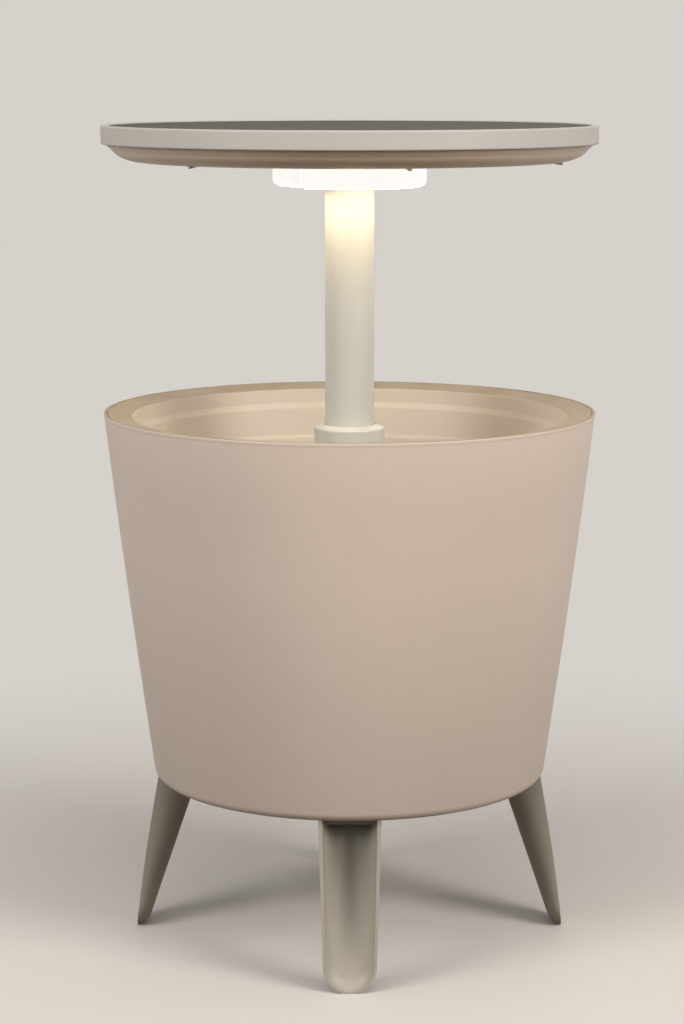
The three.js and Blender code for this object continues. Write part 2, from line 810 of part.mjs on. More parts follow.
function batteryCover() {
  const bottom = lampBottom + coverRise;
  const wedge = coverWedge(coverHalfAngle - coverPlayAngle, lampTop + cutOverrun);
  const body = solidOf(lampSection(bottom)).intersect(wedge);
  return cut(body, solidOf(lampHollow(0, bottom + lampWall)));
}

function lampBase() {
  const inner = lampInnerRadius + lampWall + seatGap;
  const outer = lampRadius - lampWall - seatGap;
  const plate = solidOf(tube(inner, outer, lampBaseBottom, lampTop, lampSides));
  const wallBottom = lampBottom + coverRise + lampWall + seatGap;
  const wallAngle = coverHalfAngle - coverPlayAngle * 2;
  const innerWall = solidOf(sector(lampInnerRadius, inner + seatGap, coverMiddle - wallAngle,
    coverMiddle + wallAngle, wallBottom, lampTop));
  const cradleTop = lampBaseBottom + lampBaseThickness / 2;
  const cradles = [-1, 1].map((side) => solidOf(
    block(cradleReach - inner, cradleWall, cradleTop - wallBottom)
      .translate(-(cradleReach + inner) / 2, 0, (cradleTop + wallBottom) / 2)
      .translate(0, side * (cradleEnd + cradleWall / 2), 0)));
  const below = lampBaseBottom - cutOverrun;
  const shankHole = rod(smallScrewRadius + screwPlay, below, lampTop + cutOverrun, screwSides);
  const headHole = rod(smallScrewHeadRadius + screwPlay, below,
    lampBaseBottom + smallScrewHeadHeight + screwPlay, screwSides);
  return cut(
    joined(plate, innerWall, ...cradles),
    ...ringOf(shankHole, lampScrewCircle, lampScrewAngles),
    ...ringOf(headHole, lampScrewCircle, lampScrewAngles),
  );
}

function lightBoard() {
  const inner = lampInnerRadius + lampWall + boardMargin;
  const outer = lampRadius - lampWall - boardMargin;
  const edge = coverMiddle - coverHalfAngle - boardMarginAngle;
  const board = solidOf(sector(inner, outer, -edge, edge, boardBottom, boardTop));
  const lights = Array.from({ length: ledCount }, (_, i) => {
    const angle = -edge + 2 * edge * (i + 0.5) / ledCount;
    return solidOf(block(ledSize, ledSize, ledHeight + boardThickness / 2)
      .translate(ledCircle, 0, boardBottom - ledHeight / 2 + boardThickness / 4)
      .rotateZ(angle));
  });
  const switchBottom = buttonTop() + buttonTravel + seatGap;
  const switchTop = boardBottom + boardThickness / 2;
  const switchBody = solidOf(block(switchBodySize, switchBodySize, switchTop - switchBottom)
    .translate(ledCircle, 0, (switchTop + switchBottom) / 2));
  const screwRoom = rod(smallScrewHeadRadius + screwPlay * 2, boardBottom - cutOverrun,
    boardTop + cutOverrun, screwSides);
  return cut(joined(board, ...lights, switchBody), ...ringOf(screwRoom, lampScrewCircle, lampScrewAngles));
}

function buttonTop() {
  return lampBottom + buttonInset + buttonLength;
}

function switchButton() {
  const bottom = lampBottom + buttonInset;
  const flangeBottom = lampBottom + lampWall + seatGap;
  return revolved([
    [0, bottom],
    [buttonRadius - buttonInset, bottom],
    [buttonRadius, bottom + buttonInset],
    [buttonRadius, flangeBottom],
    [buttonRadius + buttonFlange, flangeBottom],
    [buttonRadius + buttonFlange, flangeBottom + buttonFlangeThickness],
    [buttonRadius, flangeBottom + buttonFlangeThickness],
    [buttonRadius, buttonTop()],
    [0, buttonTop()],
  ], smallSides).translate(ledCircle, 0, 0);
}

function batteryCell() {
  const half = cellLength / 2;
  return revolved([
    [0, -half],
    [cellRadius, -half],
    [cellRadius, half],
    [cellNubRadius, half],
    [cellNubRadius, half + cellNubHeight],
    [0, half + cellNubHeight],
  ], smallSides).rotateX(Math.PI / 2);
}

function cellPlaces() {
  const first = -(lampInnerRadius + lampWall + seatGap * 3 + cellRadius);
  return [first, first - cellPitch];
}

function contactStrip() {
  const [first, second] = cellPlaces();
  const domeLength = contactDome + contactThickness / 2;
  const strip = solidOf(block(first - second + cellRadius, contactThickness, contactHeight)
    .translate((first + second) / 2, 0, 0));
  const domes = [first, second].map((place) => solidOf(
    new THREE.CylinderGeometry(cellNubRadius / 2, cellNubRadius, domeLength, screwSides)
      .translate(place, domeLength / 2, 0)));
  return joined(strip, ...domes);
}

// Drain: a spout through both floors, its seal and nut, and a plug pulled out from below
function drainPlace() {
  return [drainCircle * Math.cos(drainAngle), drainCircle * Math.sin(drainAngle)];
}

function drainSpout() {
  const bottom = baseHeight - spoutDrop;
  const flangeBottom = linerFloorHeight + drainSealThickness + 2 * seatGap;
  const bore = spoutRadius - spoutWall;
  return revolved([
    [bore, bottom],
    [spoutRadius, bottom],
    [spoutRadius, flangeBottom],
    [spoutFlangeRadius, flangeBottom],
    [spoutFlangeRadius - spoutFlangeThickness / 2, flangeBottom + spoutFlangeThickness],
    [bore + spoutWall / 2, flangeBottom + spoutFlangeThickness],
    [bore, flangeBottom + spoutFlangeThickness / 2],
  ], smallSides).translate(...drainPlace(), 0);
}

function drainSeal() {
  const bottom = linerFloorHeight + seatGap;
  return tube(spoutRadius + seatGap, spoutFlangeRadius - seatGap, bottom, bottom + drainSealThickness)
    .translate(...drainPlace(), 0);
}

function drainNut() {
  const top = baseHeight - seatGap;
  const bottom = top - drainNutHeight;
  const hexagon = solidOf(rod(drainNutRadius, bottom, top, nutSides));
  const hole = solidOf(rod(spoutRadius + seatGap, bottom - cutOverrun, top + cutOverrun));
  return cut(hexagon, hole).translate([...drainPlace(), 0]);
}

function drainPlug() {
  const stem = spoutRadius - spoutWall - plugPlay;
  const top = baseHeight - spoutDrop - seatGap;
  const tip = top + plugDepth;
  const groove = stem - ringThickness;
  const ringTop = top + ringDepth;
  const body = solidOf(revolved([
    [0, top - plugHeadHeight],
    [plugHeadRadius - seatGap, top - plugHeadHeight],
    [plugHeadRadius, top - plugHeadHeight + seatGap],
    [plugHeadRadius, top],
    [stem, top],
    [stem, ringTop - ringHeight - seatGap],
    [groove, ringTop - ringHeight - seatGap],
    [groove, ringTop + seatGap],
    [stem, ringTop + seatGap],
    [stem, tip - ringThickness],
    [stem - ringThickness, tip],
    [0, tip],
  ], smallSides));
  const grip = solidOf(block(plugGripLength, plugGripThickness, plugGripHeight + plugHeadHeight / 2)
    .translate(0, 0, top - plugHeadHeight - plugGripHeight / 2 + plugHeadHeight / 4));
  return joined(body, grip).translate([...drainPlace(), 0]);
}

function plugRing() {
  const stem = spoutRadius - spoutWall - plugPlay;
  const bottom = baseHeight - spoutDrop - seatGap + ringDepth - ringHeight;
  return tube(stem - ringThickness + seatGap, stem + plugPlay / 2, bottom, bottom + ringHeight)
    .translate(...drainPlace(), 0);
}

// Legs: tapering troughs, open outwards, with a rounded foot and a spigot on top
function legSection(height, inset) {
  const share = height / legTop;
  const bow = legBow * Math.sin(Math.PI * Math.min(Math.max(share, 0), 1));
  const lip = footTipRadius + (legTopLipRadius - footTipRadius) * share + bow;
  const back = legBackFootRadius + (legBackTopRadius - legBackFootRadius) * share;
  const straightWidth = legFootHalfWidth + (legTopHalfWidth - legFootHalfWidth) * share - inset;
  const aboveTip = height + footFlat - inset;
  const tipShare = Math.min(aboveTip / (legEndRounding - inset), 1);
  const backShare = Math.min(aboveTip / legBackRounding, 1);
  return {
    lip,
    width: straightWidth * Math.sqrt(1 - (1 - tipShare) ** 2),
    depth: (lip - back - inset) * Math.sqrt(1 - (1 - backShare) ** 2),
  };
}

function legLoft(inset, bottom, top, reach) {
  const rounding = legEndRounding - footFlat;
  const heights = [];
  for (let i = 0; i < legFootSteps; i += 1) {
    heights.push(bottom + (rounding - bottom) * (1 - Math.cos(Math.PI / 2 * i / legFootSteps)));
  }
  for (let i = 0; i <= legShaftSteps; i += 1) {
    heights.push(rounding + (top - rounding) * i / legShaftSteps);
  }
  const rings = heights.map((height) => {
    const { lip, width, depth } = legSection(height, inset);
    const curve = Array.from({ length: legArcSteps + 1 }, (_, i) => {
      const angle = Math.PI * i / legArcSteps;
      return [lip - depth * Math.sin(angle), width * Math.cos(angle), height];
    });
    if (reach > 0) {
      curve.unshift([lip + reach, width, height]);
      curve.push([lip + reach, -width, height]);
    }
    return curve;
  });
  return loft(rings);
}

// A closed skin over rings of equally many points, capped flat at both ends
function loft(rings) {
  const count = rings[0].length;
  const positions = rings.flat(2);
  const index = [];
  for (let level = 0; level < rings.length - 1; level += 1) {
    for (let i = 0; i < count; i += 1) {
      const next = (i + 1) % count;
      const [a, b] = [level * count + i, level * count + next];
      index.push(a, b, b + count, a, b + count, a + count);
    }
  }
  const flat = rings[0].map(([x, y]) => new THREE.Vector2(x, y));
  const lastRing = (rings.length - 1) * count;
  const lastFlat = rings[rings.length - 1].map(([x, y]) => new THREE.Vector2(x, y));
  THREE.ShapeUtils.triangulateShape(flat, []).forEach(([a, b, c]) => index.push(c, b, a));
  THREE.ShapeUtils.triangulateShape(lastFlat, [])
    .forEach(([a, b, c]) => index.push(a + lastRing, b + lastRing, c + lastRing));
  const geometry = new THREE.BufferGeometry();
  geometry.setAttribute('position', new THREE.Float32BufferAttribute(positions, 3));
  geometry.setIndex(index);
  return geometry;
}

function leg() {
  const top = legTop + legOvershoot;
  const innerBottom = legWall - footFlat + seatGap;
  const plateHeight = top + 2 * cutOverrun - legTop + legTopPlate;
  const plate = solidOf(block(legPlateEdge, 2 * legTopHalfWidth, plateHeight)
    .translate(legPlateEdge / 2, 0, legTop - legTopPlate + plateHeight / 2));
  const hollow = solidOf(legLoft(legWall, innerBottom, top + cutOverrun, cutOverrun));
  const trough = cut(solidOf(legLoft(0, 0, top, 0)), cut(hollow, plate));
  const outside = shellOutside(-seatGap);
  const bucket = solidOf(revolved([[0, legTop], ...outside, [0, outside[outside.length - 1][1]]]));
  const spigot = solidOf(block(spigotLength, spigotWidth, spigotHeight + legTopPlate / 2)
    .translate(spigotCircle, 0, legTop + spigotHeight / 2 - legTopPlate / 4));
  const hole = solidOf(rod(screwRadius + screwPlay, legTop - legTopPlate - cutOverrun,
    legTop + spigotHeight + cutOverrun, screwSides).translate(spigotCircle, 0, 0));
  return cut(joined(cut(trough, bucket), spigot), hole);
}

// A pan-head screw pointing up, its head's top face at height zero
function screw(radius, headRadius, headHeight, length) {
  return revolved([
    [0, -headHeight],
    [headRadius * screwCrownShare, -headHeight],
    [headRadius, -headHeight / 2],
    [headRadius, 0],
    [radius, 0],
    [radius, length - screwTipLength],
    [0, length],
  ], screwSides);
}

function bigScrew(length) {
  return screw(screwRadius, screwHeadRadius, screwHeadHeight, length);
}

function smallScrew(length) {
  return screw(smallScrewRadius, smallScrewHeadRadius, smallScrewHeadHeight, length);
}

// Puts one mesh at a radius and angle about the column's axis
function around(mesh, radius, angle, height) {
  mesh.position.set(radius * Math.cos(angle), radius * Math.sin(angle), height);
  mesh.rotation.z = angle;
  return mesh;
}

// Assembly
function bucketGroup() {
  const bucket = new THREE.Group();
  bucket.add(
    piece('bucket_shell', bucketShell(), bucketPlastic),
    piece('bucket_liner', bucketLiner(), linerPlastic),
    piece('guide_tube', guideTube(), whitePlastic),
    piece('guide_seal', guideSeal(), rubber),
    piece('guide_collar', guideCollar(), whitePlastic),
    piece('drain_spout', drainSpout(), whitePlastic),
    piece('drain_seal', drainSeal(), rubber),
    piece('drain_nut', drainNut(), whitePlastic),
  );
  guideScrewAngles.forEach((angle, i) => {
    const low = piece(`guide_screw_${i + 1}`, bigScrew(guideScrewLength - seatGap), steel);
    const side = piece(`collar_screw_${i + 1}`, smallScrew(guideRadius - sleeveInnerRadius - seatGap), steel);
    bucket.add(
      around(low, guideWallMiddle, angle, baseHeight - seatGap),
      around(side, guideRadius + seatGap, angle, collarScrewHeight()),
    );
    side.rotation.set(0, -Math.PI / 2, angle, 'ZYX');
  });
  return bucket;
}

function legGroup() {
  const legs = new THREE.Group();
  const shape = leg();
  legNames.forEach((name, i) => {
    const one = piece(`leg_${name}`, shape, legPlastic);
    one.rotation.z = legAngles[i];
    const fixing = piece(`leg_screw_${name}`, bigScrew(legScrewLength), steel);
    legs.add(one, around(fixing, spigotCircle, legAngles[i], legTop - legTopPlate - seatGap));
  });
  return legs;
}

function plugGroup() {
  const plug = new THREE.Group();
  plug.add(piece('drain_plug', drainPlug(), whitePlastic), piece('plug_ring', plugRing(), rubber));
  return plug;
}

function lampGroup() {
  const lamp = new THREE.Group();
  lamp.add(
    piece('lamp_base', lampBase(), innerPlastic),
    piece('light_board', lightBoard(), boardLaminate),
    piece('lamp_diffuser', lampDiffuser(), diffuserPlastic),
    piece('battery_cover', batteryCover(), diffuserPlastic),
    piece('switch_button', switchButton(), whitePlastic),
  );
  lampScrewAngles.forEach((angle, i) => {
    const fixing = piece(`lamp_screw_${i + 1}`, smallScrew(lampScrewLength), steel);
    lamp.add(around(fixing, lampScrewCircle, angle, lampBaseBottom + smallScrewHeadHeight));
  });
  cellPlaces().forEach((place, i) => {
    const cell = piece(`battery_${i + 1}`, batteryCell(), batteryJacket);
    cell.position.set(place, 0, cellHeight);
    cell.rotation.z = i * Math.PI;
    lamp.add(cell);
  });
  [-1, 1].forEach((side, i) => {
    const strip = piece(`battery_contact_${i + 1}`, contactStrip(), steel);
    strip.position.set(0, side * (cradleEnd - seatGap - contactThickness / 2), cellHeight);
    if (side > 0) strip.rotation.x = Math.PI;
    lamp.add(strip);
  });
  return lamp;
}

function tableGroup() {
  const table = new THREE.Group();
  table.add(
    piece('slide_bush', slideBush(), mechanismPlastic),
    piece('column_foot', columnFoot(), mechanismPlastic),
    piece('foot_pin', crossPin(footPinHeight(), columnRadius - seatGap), steel),
    piece('column_tube', columnTube(), whitePlastic),
    piece('head_pin', crossPin(headPinHeight(), columnRadius + seatGap + socketWall), steel),
    piece('hub_flange', hubFlange(), innerPlastic),
    piece('table_underside', dishUnderside(), whitePlastic),
    piece('table_top', topShell(), whitePlastic),
    piece('table_surface', topSurface(), topPlastic),
    lampGroup(),
  );
  hubScrewAngles.forEach((angle, i) => {
    const fixing = piece(`hub_screw_${i + 1}`, smallScrew(hubScrewLength), steel);
    table.add(around(fixing, hubScrewCircle, angle, hubBottom + smallScrewHeadHeight + screwPlay));
  });
  topScrewAngles.forEach((angle, i) => {
    const fixing = piece(`top_screw_${i + 1}`, bigScrew(topScrewLength), steel);
    table.add(around(fixing, topScrewCircle, angle, dishBottom + screwHeadHeight));
  });
  return table;
}

const iceBucketTable = new THREE.Group();
iceBucketTable.add(bucketGroup(), legGroup(), plugGroup(), tableGroup());

export default iceBucketTable;
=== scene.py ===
"""Ice bucket coffee table: smooth mouldings, finishes, lamp light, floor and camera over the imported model.

Metres, +Z up, floor at zero, the column's axis at x = y = 0, the front leg towards -Y.
Each moulding follows the solid that it stands for, with its roundings, lips and recesses.
"""

import math

import bmesh
import bpy
from mathutils import Matrix, Vector


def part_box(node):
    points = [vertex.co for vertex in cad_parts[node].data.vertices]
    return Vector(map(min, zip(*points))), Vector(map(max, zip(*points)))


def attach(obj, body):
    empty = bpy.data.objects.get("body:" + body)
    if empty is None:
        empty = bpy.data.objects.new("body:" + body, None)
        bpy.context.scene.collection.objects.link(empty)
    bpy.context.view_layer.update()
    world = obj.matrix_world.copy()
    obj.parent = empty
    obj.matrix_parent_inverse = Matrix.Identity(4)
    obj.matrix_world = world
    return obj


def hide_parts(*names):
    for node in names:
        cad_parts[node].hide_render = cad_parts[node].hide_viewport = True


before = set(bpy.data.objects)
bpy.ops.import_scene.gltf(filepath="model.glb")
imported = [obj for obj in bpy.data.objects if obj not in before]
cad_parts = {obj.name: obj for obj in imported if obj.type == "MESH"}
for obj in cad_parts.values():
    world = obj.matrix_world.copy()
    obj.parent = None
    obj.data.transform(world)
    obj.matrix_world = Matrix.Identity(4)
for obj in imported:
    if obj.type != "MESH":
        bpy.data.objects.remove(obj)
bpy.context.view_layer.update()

MM = 0.001


def low(name):
    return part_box(name)[0]


def high(name):
    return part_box(name)[1]


def heights(name):
    """Where a solid starts and ends in height."""
    return low(name).z, high(name).z


# Clearances
SEAT_GAP = 0.3 * MM
SCREW_PLAY = 0.3 * MM
CUT_OVERRUN = 5 * MM

# Outer bucket
SHELL_WALL = 3.2 * MM
WALL_BULGE = 1.3 * MM
BASE_ROUNDING = 10 * MM
BASE_RADIUS = 199.6 * MM
BASE_HEIGHT = low("bucket_shell").z
RIM_RADIUS = high("bucket_shell").x
RIM_SEAT_DEPTH = 1.6 * MM
FLUSH_DEPTH = 0.3 * MM
RIM_INNER_ROUNDING = 0.4 * MM
RIM_HEIGHT = high("bucket_liner").z + RIM_SEAT_DEPTH
GUIDE_DRAIN_RADIUS = 6 * MM
WALL_STEPS = 12

# Inner bucket
LINER_WALL = 3 * MM
LIP_RADIUS = 219 * MM
LIP_ROUNDING = 1.5 * MM
FLANGE_DROP = 4.8 * MM
LIP_HEIGHT = RIM_HEIGHT - FLANGE_DROP
FLANGE_RADIUS = high("bucket_liner").x
BAND_HEIGHT = 14.4 * MM
BAND_TAPER = 1.4 * MM
LEDGE_WIDTH = 2.6 * MM
LEDGE_DROP = 6 * MM
UPPER_WALL_HEIGHT = 29 * MM
UPPER_WALL_TAPER = 3.4 * MM
WAIST_WIDTH = 1.7 * MM
WAIST_DROP = 2 * MM
LINER_BASE_RADIUS = 180 * MM
LINER_FLOOR = low("bucket_liner").z + LINER_WALL
LINER_FLOOR_ROUNDING = 20 * MM
LEDGE_ROUNDING = 5 * MM

# Column, its guide and collar
COLUMN_RADIUS = high("column_tube").x
COLUMN_WALL = 2.2 * MM
COLUMN_BOTTOM, COLUMN_TOP = heights("column_tube")
COLLAR_RADIUS = high("guide_collar").x
COLLAR_TOP = high("guide_collar").z
COLLAR_HEAD = 17.8 * MM
COLLAR_SLOPE = 3.4 * MM
COLLAR_ROUNDING = 1.5 * MM
SLEEVE_WALL = 3 * MM
SLEEVE_RADIUS = COLUMN_RADIUS + SEAT_GAP + SLEEVE_WALL
LUG_REACH = 3.4 * MM
CHANNEL_RADIUS = SLEEVE_RADIUS + LUG_REACH + SEAT_GAP
CHANNEL_WALL = 2.3 * MM
GUIDE_RADIUS = CHANNEL_RADIUS + CHANNEL_WALL
GUIDE_BOTTOM, GUIDE_TOP = heights("guide_tube")
GUIDE_FLANGE_RADIUS = high("guide_tube").x
GUIDE_FLANGE_BOTTOM = high("guide_seal").z + SEAT_GAP
GUIDE_FLANGE_THICKNESS = 4 * MM
GUIDE_FLANGE_TOP = GUIDE_FLANGE_BOTTOM + GUIDE_FLANGE_THICKNESS
GUIDE_RIB_COUNT = 8
GUIDE_RIB_HEIGHT = 22 * MM
GUIDE_RIB_WIDTH = 2.4 * MM

# Tabletop
TABLE_RADIUS = high("table_top").x
TABLE_TOP = high("table_top").z
BAND_DEPTH = 18.6 * MM
BAND_BOTTOM = TABLE_TOP - BAND_DEPTH
BAND_WALL = 5.7 * MM
EDGE_ROUNDING = 1.8 * MM
INLAY_RADIUS = high("table_surface").x
INLAY_BOTTOM, INLAY_TOP = heights("table_surface")
INLAY_ROUNDING = 0.5 * MM
TOP_PLATE = 3 * MM

# Underside: a dish with centring nubs
DISH_BOTTOM = high("hub_flange").z + SEAT_GAP
DISH_DEPTH = BAND_BOTTOM - DISH_BOTTOM
DISH_RIM_RADIUS = high("table_underside").x
DISH_CURVE_WIDTH = 33 * MM
DISH_SHOULDER = 3 * MM
DISH_FLAT_RADIUS = DISH_RIM_RADIUS - DISH_SHOULDER - DISH_CURVE_WIDTH
DISH_FLARE = 1.5 * MM
DISH_FLARE_ANGLE = 20
DISH_WALL = 3 * MM
DISH_COLLAR = 6 * MM
DISH_STEPS = 18
SOCKET_WALL = 3.5 * MM
NUB_BOTTOM = low("table_underside").z
NUB_CIRCLE = 214 * MM
NUB_LENGTH = 6 * MM
NUB_WIDTH = 3 * MM
NUB_COUNT = 6
NUB_ROUNDING = 0.5 * MM
NUB_TRIM = 0.9 * MM
NUB_RUN = 10.5 * MM
NUB_FOOT_SHARE = 0.62
NUB_TIP_SHARE = 0.35

# Hub plate
HUB_RADIUS = high("hub_flange").x
HUB_BOTTOM, HUB_TOP = heights("hub_flange")
HUB_ROUNDING = 1 * MM

# Ring lamp
LAMP_RADIUS = high("lamp_diffuser").x
LAMP_INNER_RADIUS = 38.5 * MM
LAMP_BOTTOM, LAMP_TOP = heights("lamp_diffuser")
LAMP_WALL = 1.8 * MM
LAMP_ROUNDING = 6 * MM
LAMP_INNER_ROUNDING = 1.5 * MM
LAMP_EDGE = 0.4 * MM
LAMP_BASE_THICKNESS = 4 * MM
COVER_BOTTOM = low("battery_cover").z
COVER_HALF_ANGLE = math.radians(52)
COVER_PLAY_ANGLE = math.radians(0.4)
COVER_MIDDLE = math.pi
COVER_STEPS = 40
PARTITION_ANGLE = math.radians(2)
PRY_SLOT_ANGLE = math.radians(-35.4)
PRY_SLOT_WIDTH = 4 * MM
PRY_SLOT_DEPTH = 3 * MM
BUTTON_CIRCLE = 58 * MM
BUTTON_RADIUS = 5.8 * MM
BUTTON_DISH = 0.7 * MM
BUTTON_DISH_REACH = 0.55
BUTTON_DISH_RISE = 0.6

# Drain
DRAIN_PLACE = Vector((77.8, 77.8, 0)) * MM
SPOUT_RADIUS = 14 * MM
SPOUT_WALL = 3.6 * MM
SPOUT_BORE = SPOUT_RADIUS - SPOUT_WALL
SPOUT_FLANGE_RADIUS = 20 * MM
SPOUT_FLANGE_THICKNESS = 2.5 * MM
SPOUT_BOTTOM, SPOUT_TOP = heights("drain_spout")
NUT_RADIUS = 21 * MM
NUT_FACE_RADIUS = NUT_RADIUS * 0.9
NUT_CHAMFER_RADIUS = NUT_RADIUS * 1.02
PLUG_PLAY = 0.6 * MM
PLUG_STEM = SPOUT_BORE - PLUG_PLAY
PLUG_HEAD_RADIUS = 16 * MM
PLUG_HEAD_HEIGHT = 5 * MM
PLUG_GRIP_HEIGHT = 9 * MM
PLUG_GRIP_THICKNESS = 4 * MM
PLUG_GRIP_LENGTH = 22 * MM
PLUG_GRIP_ROUNDING = 1.5 * MM
PLUG_BOTTOM, PLUG_TIP = heights("drain_plug")
RING_THICKNESS = 1.2 * MM
RING_FIT = 2.2

# Legs
LEG_TOP = BASE_HEIGHT - SEAT_GAP
LEG_TIP_RADIUS = high("leg_right").x
LEG_TOP_LIP_RADIUS = 196 * MM
LEG_BOW = 1.5 * MM
LEG_BACK_TOP_RADIUS = 154.5 * MM
LEG_BACK_FOOT_RADIUS = LEG_TIP_RADIUS - 10.4 * MM
LEG_TOP_HALF_WIDTH = 30.7 * MM
LEG_FOOT_HALF_WIDTH = 25.4 * MM
LEG_END_ROUNDING = 25.5 * MM
LEG_BACK_ROUNDING = 12 * MM
LEG_WALL = 4 * MM
LEG_FOOT_WALL = 2.4 * MM
LEG_TOP_PLATE = 6 * MM
LEG_PLATE_EDGE = LEG_TOP_LIP_RADIUS - 14 * MM
LEG_OVERSHOOT = 8 * MM
LEG_LIP_ROUNDING = 1.1 * MM
LEG_LIP_ANGLE = math.radians(55)
FOOT_FLAT = 1 * MM
LEG_ARC_STEPS = 28
LEG_FOOT_STEPS = 22
LEG_SHAFT_STEPS = 14

# Screws
SCREW_HEAD_RADIUS = 4 * MM
SCREW_HEAD_HEIGHT = 2.6 * MM
SMALL_HEAD_RADIUS = 3 * MM
SMALL_HEAD_HEIGHT = 2 * MM
SCREW_SHANK_SHARE = 0.5
SCREW_CROWN_SHARE = 0.7
SCREW_TWIST = 0.7
LEG_SCREW_CIRCLE = 173 * MM
TOP_SCREW_CIRCLE = 150 * MM
HUB_SCREW_CIRCLE = 31.4 * MM
LAMP_SCREW_CIRCLE = 66 * MM
QUARTER = math.pi / 2
EIGHTH = math.pi / 4

# Batteries
CELL_RADIUS = 7.2 * MM
CELL_NUB_RADIUS = 2.7 * MM
CELL_NUB_HEIGHT = 1 * MM
CELL_BAND_START = 0.3
CELL_BAND_END = 0.28

# Fineness
BIG_SIDES = 256
MIDDLE_SIDES = 128
SMALL_SIDES = 48
SCREW_SIDES = 24
WELL_SIDES = 32
TURN_RADIUS = 100 * MM
ARC_STEP = math.radians(9)
BEVEL_ANGLE = math.radians(40)
SHARP_ANGLE = math.radians(32)
STRAIGHT_ANGLE = math.radians(1.5)
MERGE_DISTANCE = 0.002 * MM

# Tones, most of them painted shade and painted light: where they change, and what is left of the colour there
# painted shade on the bucket, from this height down to its base
BASE_SHADE_TOP = 400 * MM
BASE_SHADE_SHARE = 0.82
# painted lamp light on the bucket's upper wall: how far down it reaches, and how much lighter it makes the
# colour
RIM_LIGHT_DEPTH = 62 * MM
RIM_LIGHT_SHARE = 1.08
# painted shade on the rim's crest: its inner part takes the flange's tan
CREST_SHADE_WIDTH = 0.6 * MM
# painted shade on the legs: under the bucket, in the depth of the trough, and the bucket's arched shadow over
# the trough's top
LEG_TOP_SHADE_SHARE = 0.88
LEG_HOLLOW_START = 11 * MM
LEG_HOLLOW_END = 28 * MM
LEG_HOLLOW_SHADE_SHARE = 0.5
LEG_SHADOW_SHARE = 0.34
LEG_SHADE_RUN = 38 * MM
LEG_SHADE_DROP = 26 * MM
LEG_SHADE_EDGE = 6 * MM
SIDEWAYS, OUTWARDS = 0.1, 0.5
NOISE_LOW, NOISE_HIGH = 0.3, 0.7
RESIN_GLOW_REACH = 4 * MM
MOTTLE_SIZE = 0.11
FLOW_SIZE = 0.03
MARK_SIZE = 0.012
RUB_SIZE = 0.05
WAVE_SIZE = 0.06

# Lamp light
LAMP_GLOW = 36.0
COVER_GLOW = 33.0
LAMP_SIDE_GLOW = 0.84
COVER_SIDE_GLOW = 0.81
LAMP_BORE_GLOW = 2.0
LAMP_BORE_WIDTH = 7 * LAMP_WALL
LAMP_FADE = 0.3 * MM

# Studio
FLOOR_SIZE = 60
FADE_START = 0.3
FADE_END = 1.3
WORLD_COLOUR = (1.0, 0.97, 0.94, 1)
WORLD_POWER = 0.26
OVERHEAD_POWER = 24
KEY_POWER = 62
FILL_POWER = 44
BACK_POWER = 5
LIGHT_TARGET = (0, 0, 0.45)
CAMERA_PLACE = Vector((-0.0076, -2.6887, 0.8843))
CAMERA_PITCH = math.radians(9.49)
CAMERA_LENS = 93.96
SENSOR_HEIGHT = 36
CAMERA_REACH = 100


# Colours, as they look under plain light, but for the painted shade and painted light that are marked

def paint(red, green, blue):
    """An sRGB colour, 0 to 255, as the linear colour that a shader takes."""
    def linear(value):
        share = value / 255
        return share / 12.92 if share <= 0.04045 else ((share + 0.055) / 1.055) ** 2.4
    return (linear(red), linear(green), linear(blue), 1)


CREAM = paint(220, 203, 188)
CREAM_LINER = paint(197, 187, 172)
# painted shade and painted warm lamp light on the flange, not the resin's own colour
FLANGE_SHADE_TAN = paint(158, 141, 113)
OFF_WHITE = paint(204, 202, 193)
COLUMN_WHITE = paint(204, 204, 196)
LID_WHITE = paint(196, 191, 183)
UNDERSIDE_TAN = paint(221, 202, 181)
LEG_WHITE = paint(177, 170, 155)
# partly the resin's own grey, partly painted shade that darkens the top as if it reflected dark surroundings
INLAY_GREY_AND_SHADE = paint(92, 89, 83)
INNER_WHITE = paint(205, 201, 190)
BEARING_GREY = paint(74, 76, 78)
SEAL_BLACK = paint(38, 38, 38)
ZINC = paint(188, 190, 192)
# painted shade: the leg screws are dark so that no glint shows in the shade at the top of the trough
SCREW_SHADE_DARK = paint(62, 60, 58)
BOARD_WHITE = paint(226, 230, 224)
JACKET_GREEN = paint(58, 72, 62)
JACKET_BAND = paint(168, 150, 92)
OPAL = paint(255, 243, 222)
LAMP_CAST = (1.0, 0.81, 0.58, 1)
LAMP_SKIN = (0.96, 0.99, 1.0, 1)
FLOOR_COLOUR = paint(214, 209, 203)
FLOOR_LIT = paint(230, 225, 219)
FLOOR_BOUNCE = paint(86, 77, 67)


def tinted(colour, share):
    return tuple(min(1.0, part * share) for part in colour[:3]) + (1,)


# Nodes

def wired(tree, made, inputs):
    """Links each input of a node, by name or number, to an output, or sets it to a value."""
    for label, value in inputs.items():
        if isinstance(value, bpy.types.NodeSocket):
            tree.links.new(value, made.inputs[label])
        else:
            made.inputs[label].default_value = value
    return made.outputs


def node(tree, kind, inputs=(), **settings):
    """A new node's outputs."""
    made = tree.nodes.new(kind)
    for label, value in settings.items():
        setattr(made, label, value)
    return wired(tree, made, dict(inputs))


def maths(tree, operation, *values):
    return node(tree, "ShaderNodeMath", enumerate(values), operation=operation)[0]


def vector_maths(tree, operation, output, *values):
    return node(tree, "ShaderNodeVectorMath", enumerate(values), operation=operation)[output]


def point_of(tree, output="Object"):
    return node(tree, "ShaderNodeTexCoord")[output]


def place_on(tree, stretch=(1, 1, 1)):
    """Object coordinates, stretched along each axis."""
    return node(tree, "ShaderNodeMapping", {"Vector": point_of(tree), "Scale": stretch})["Vector"]


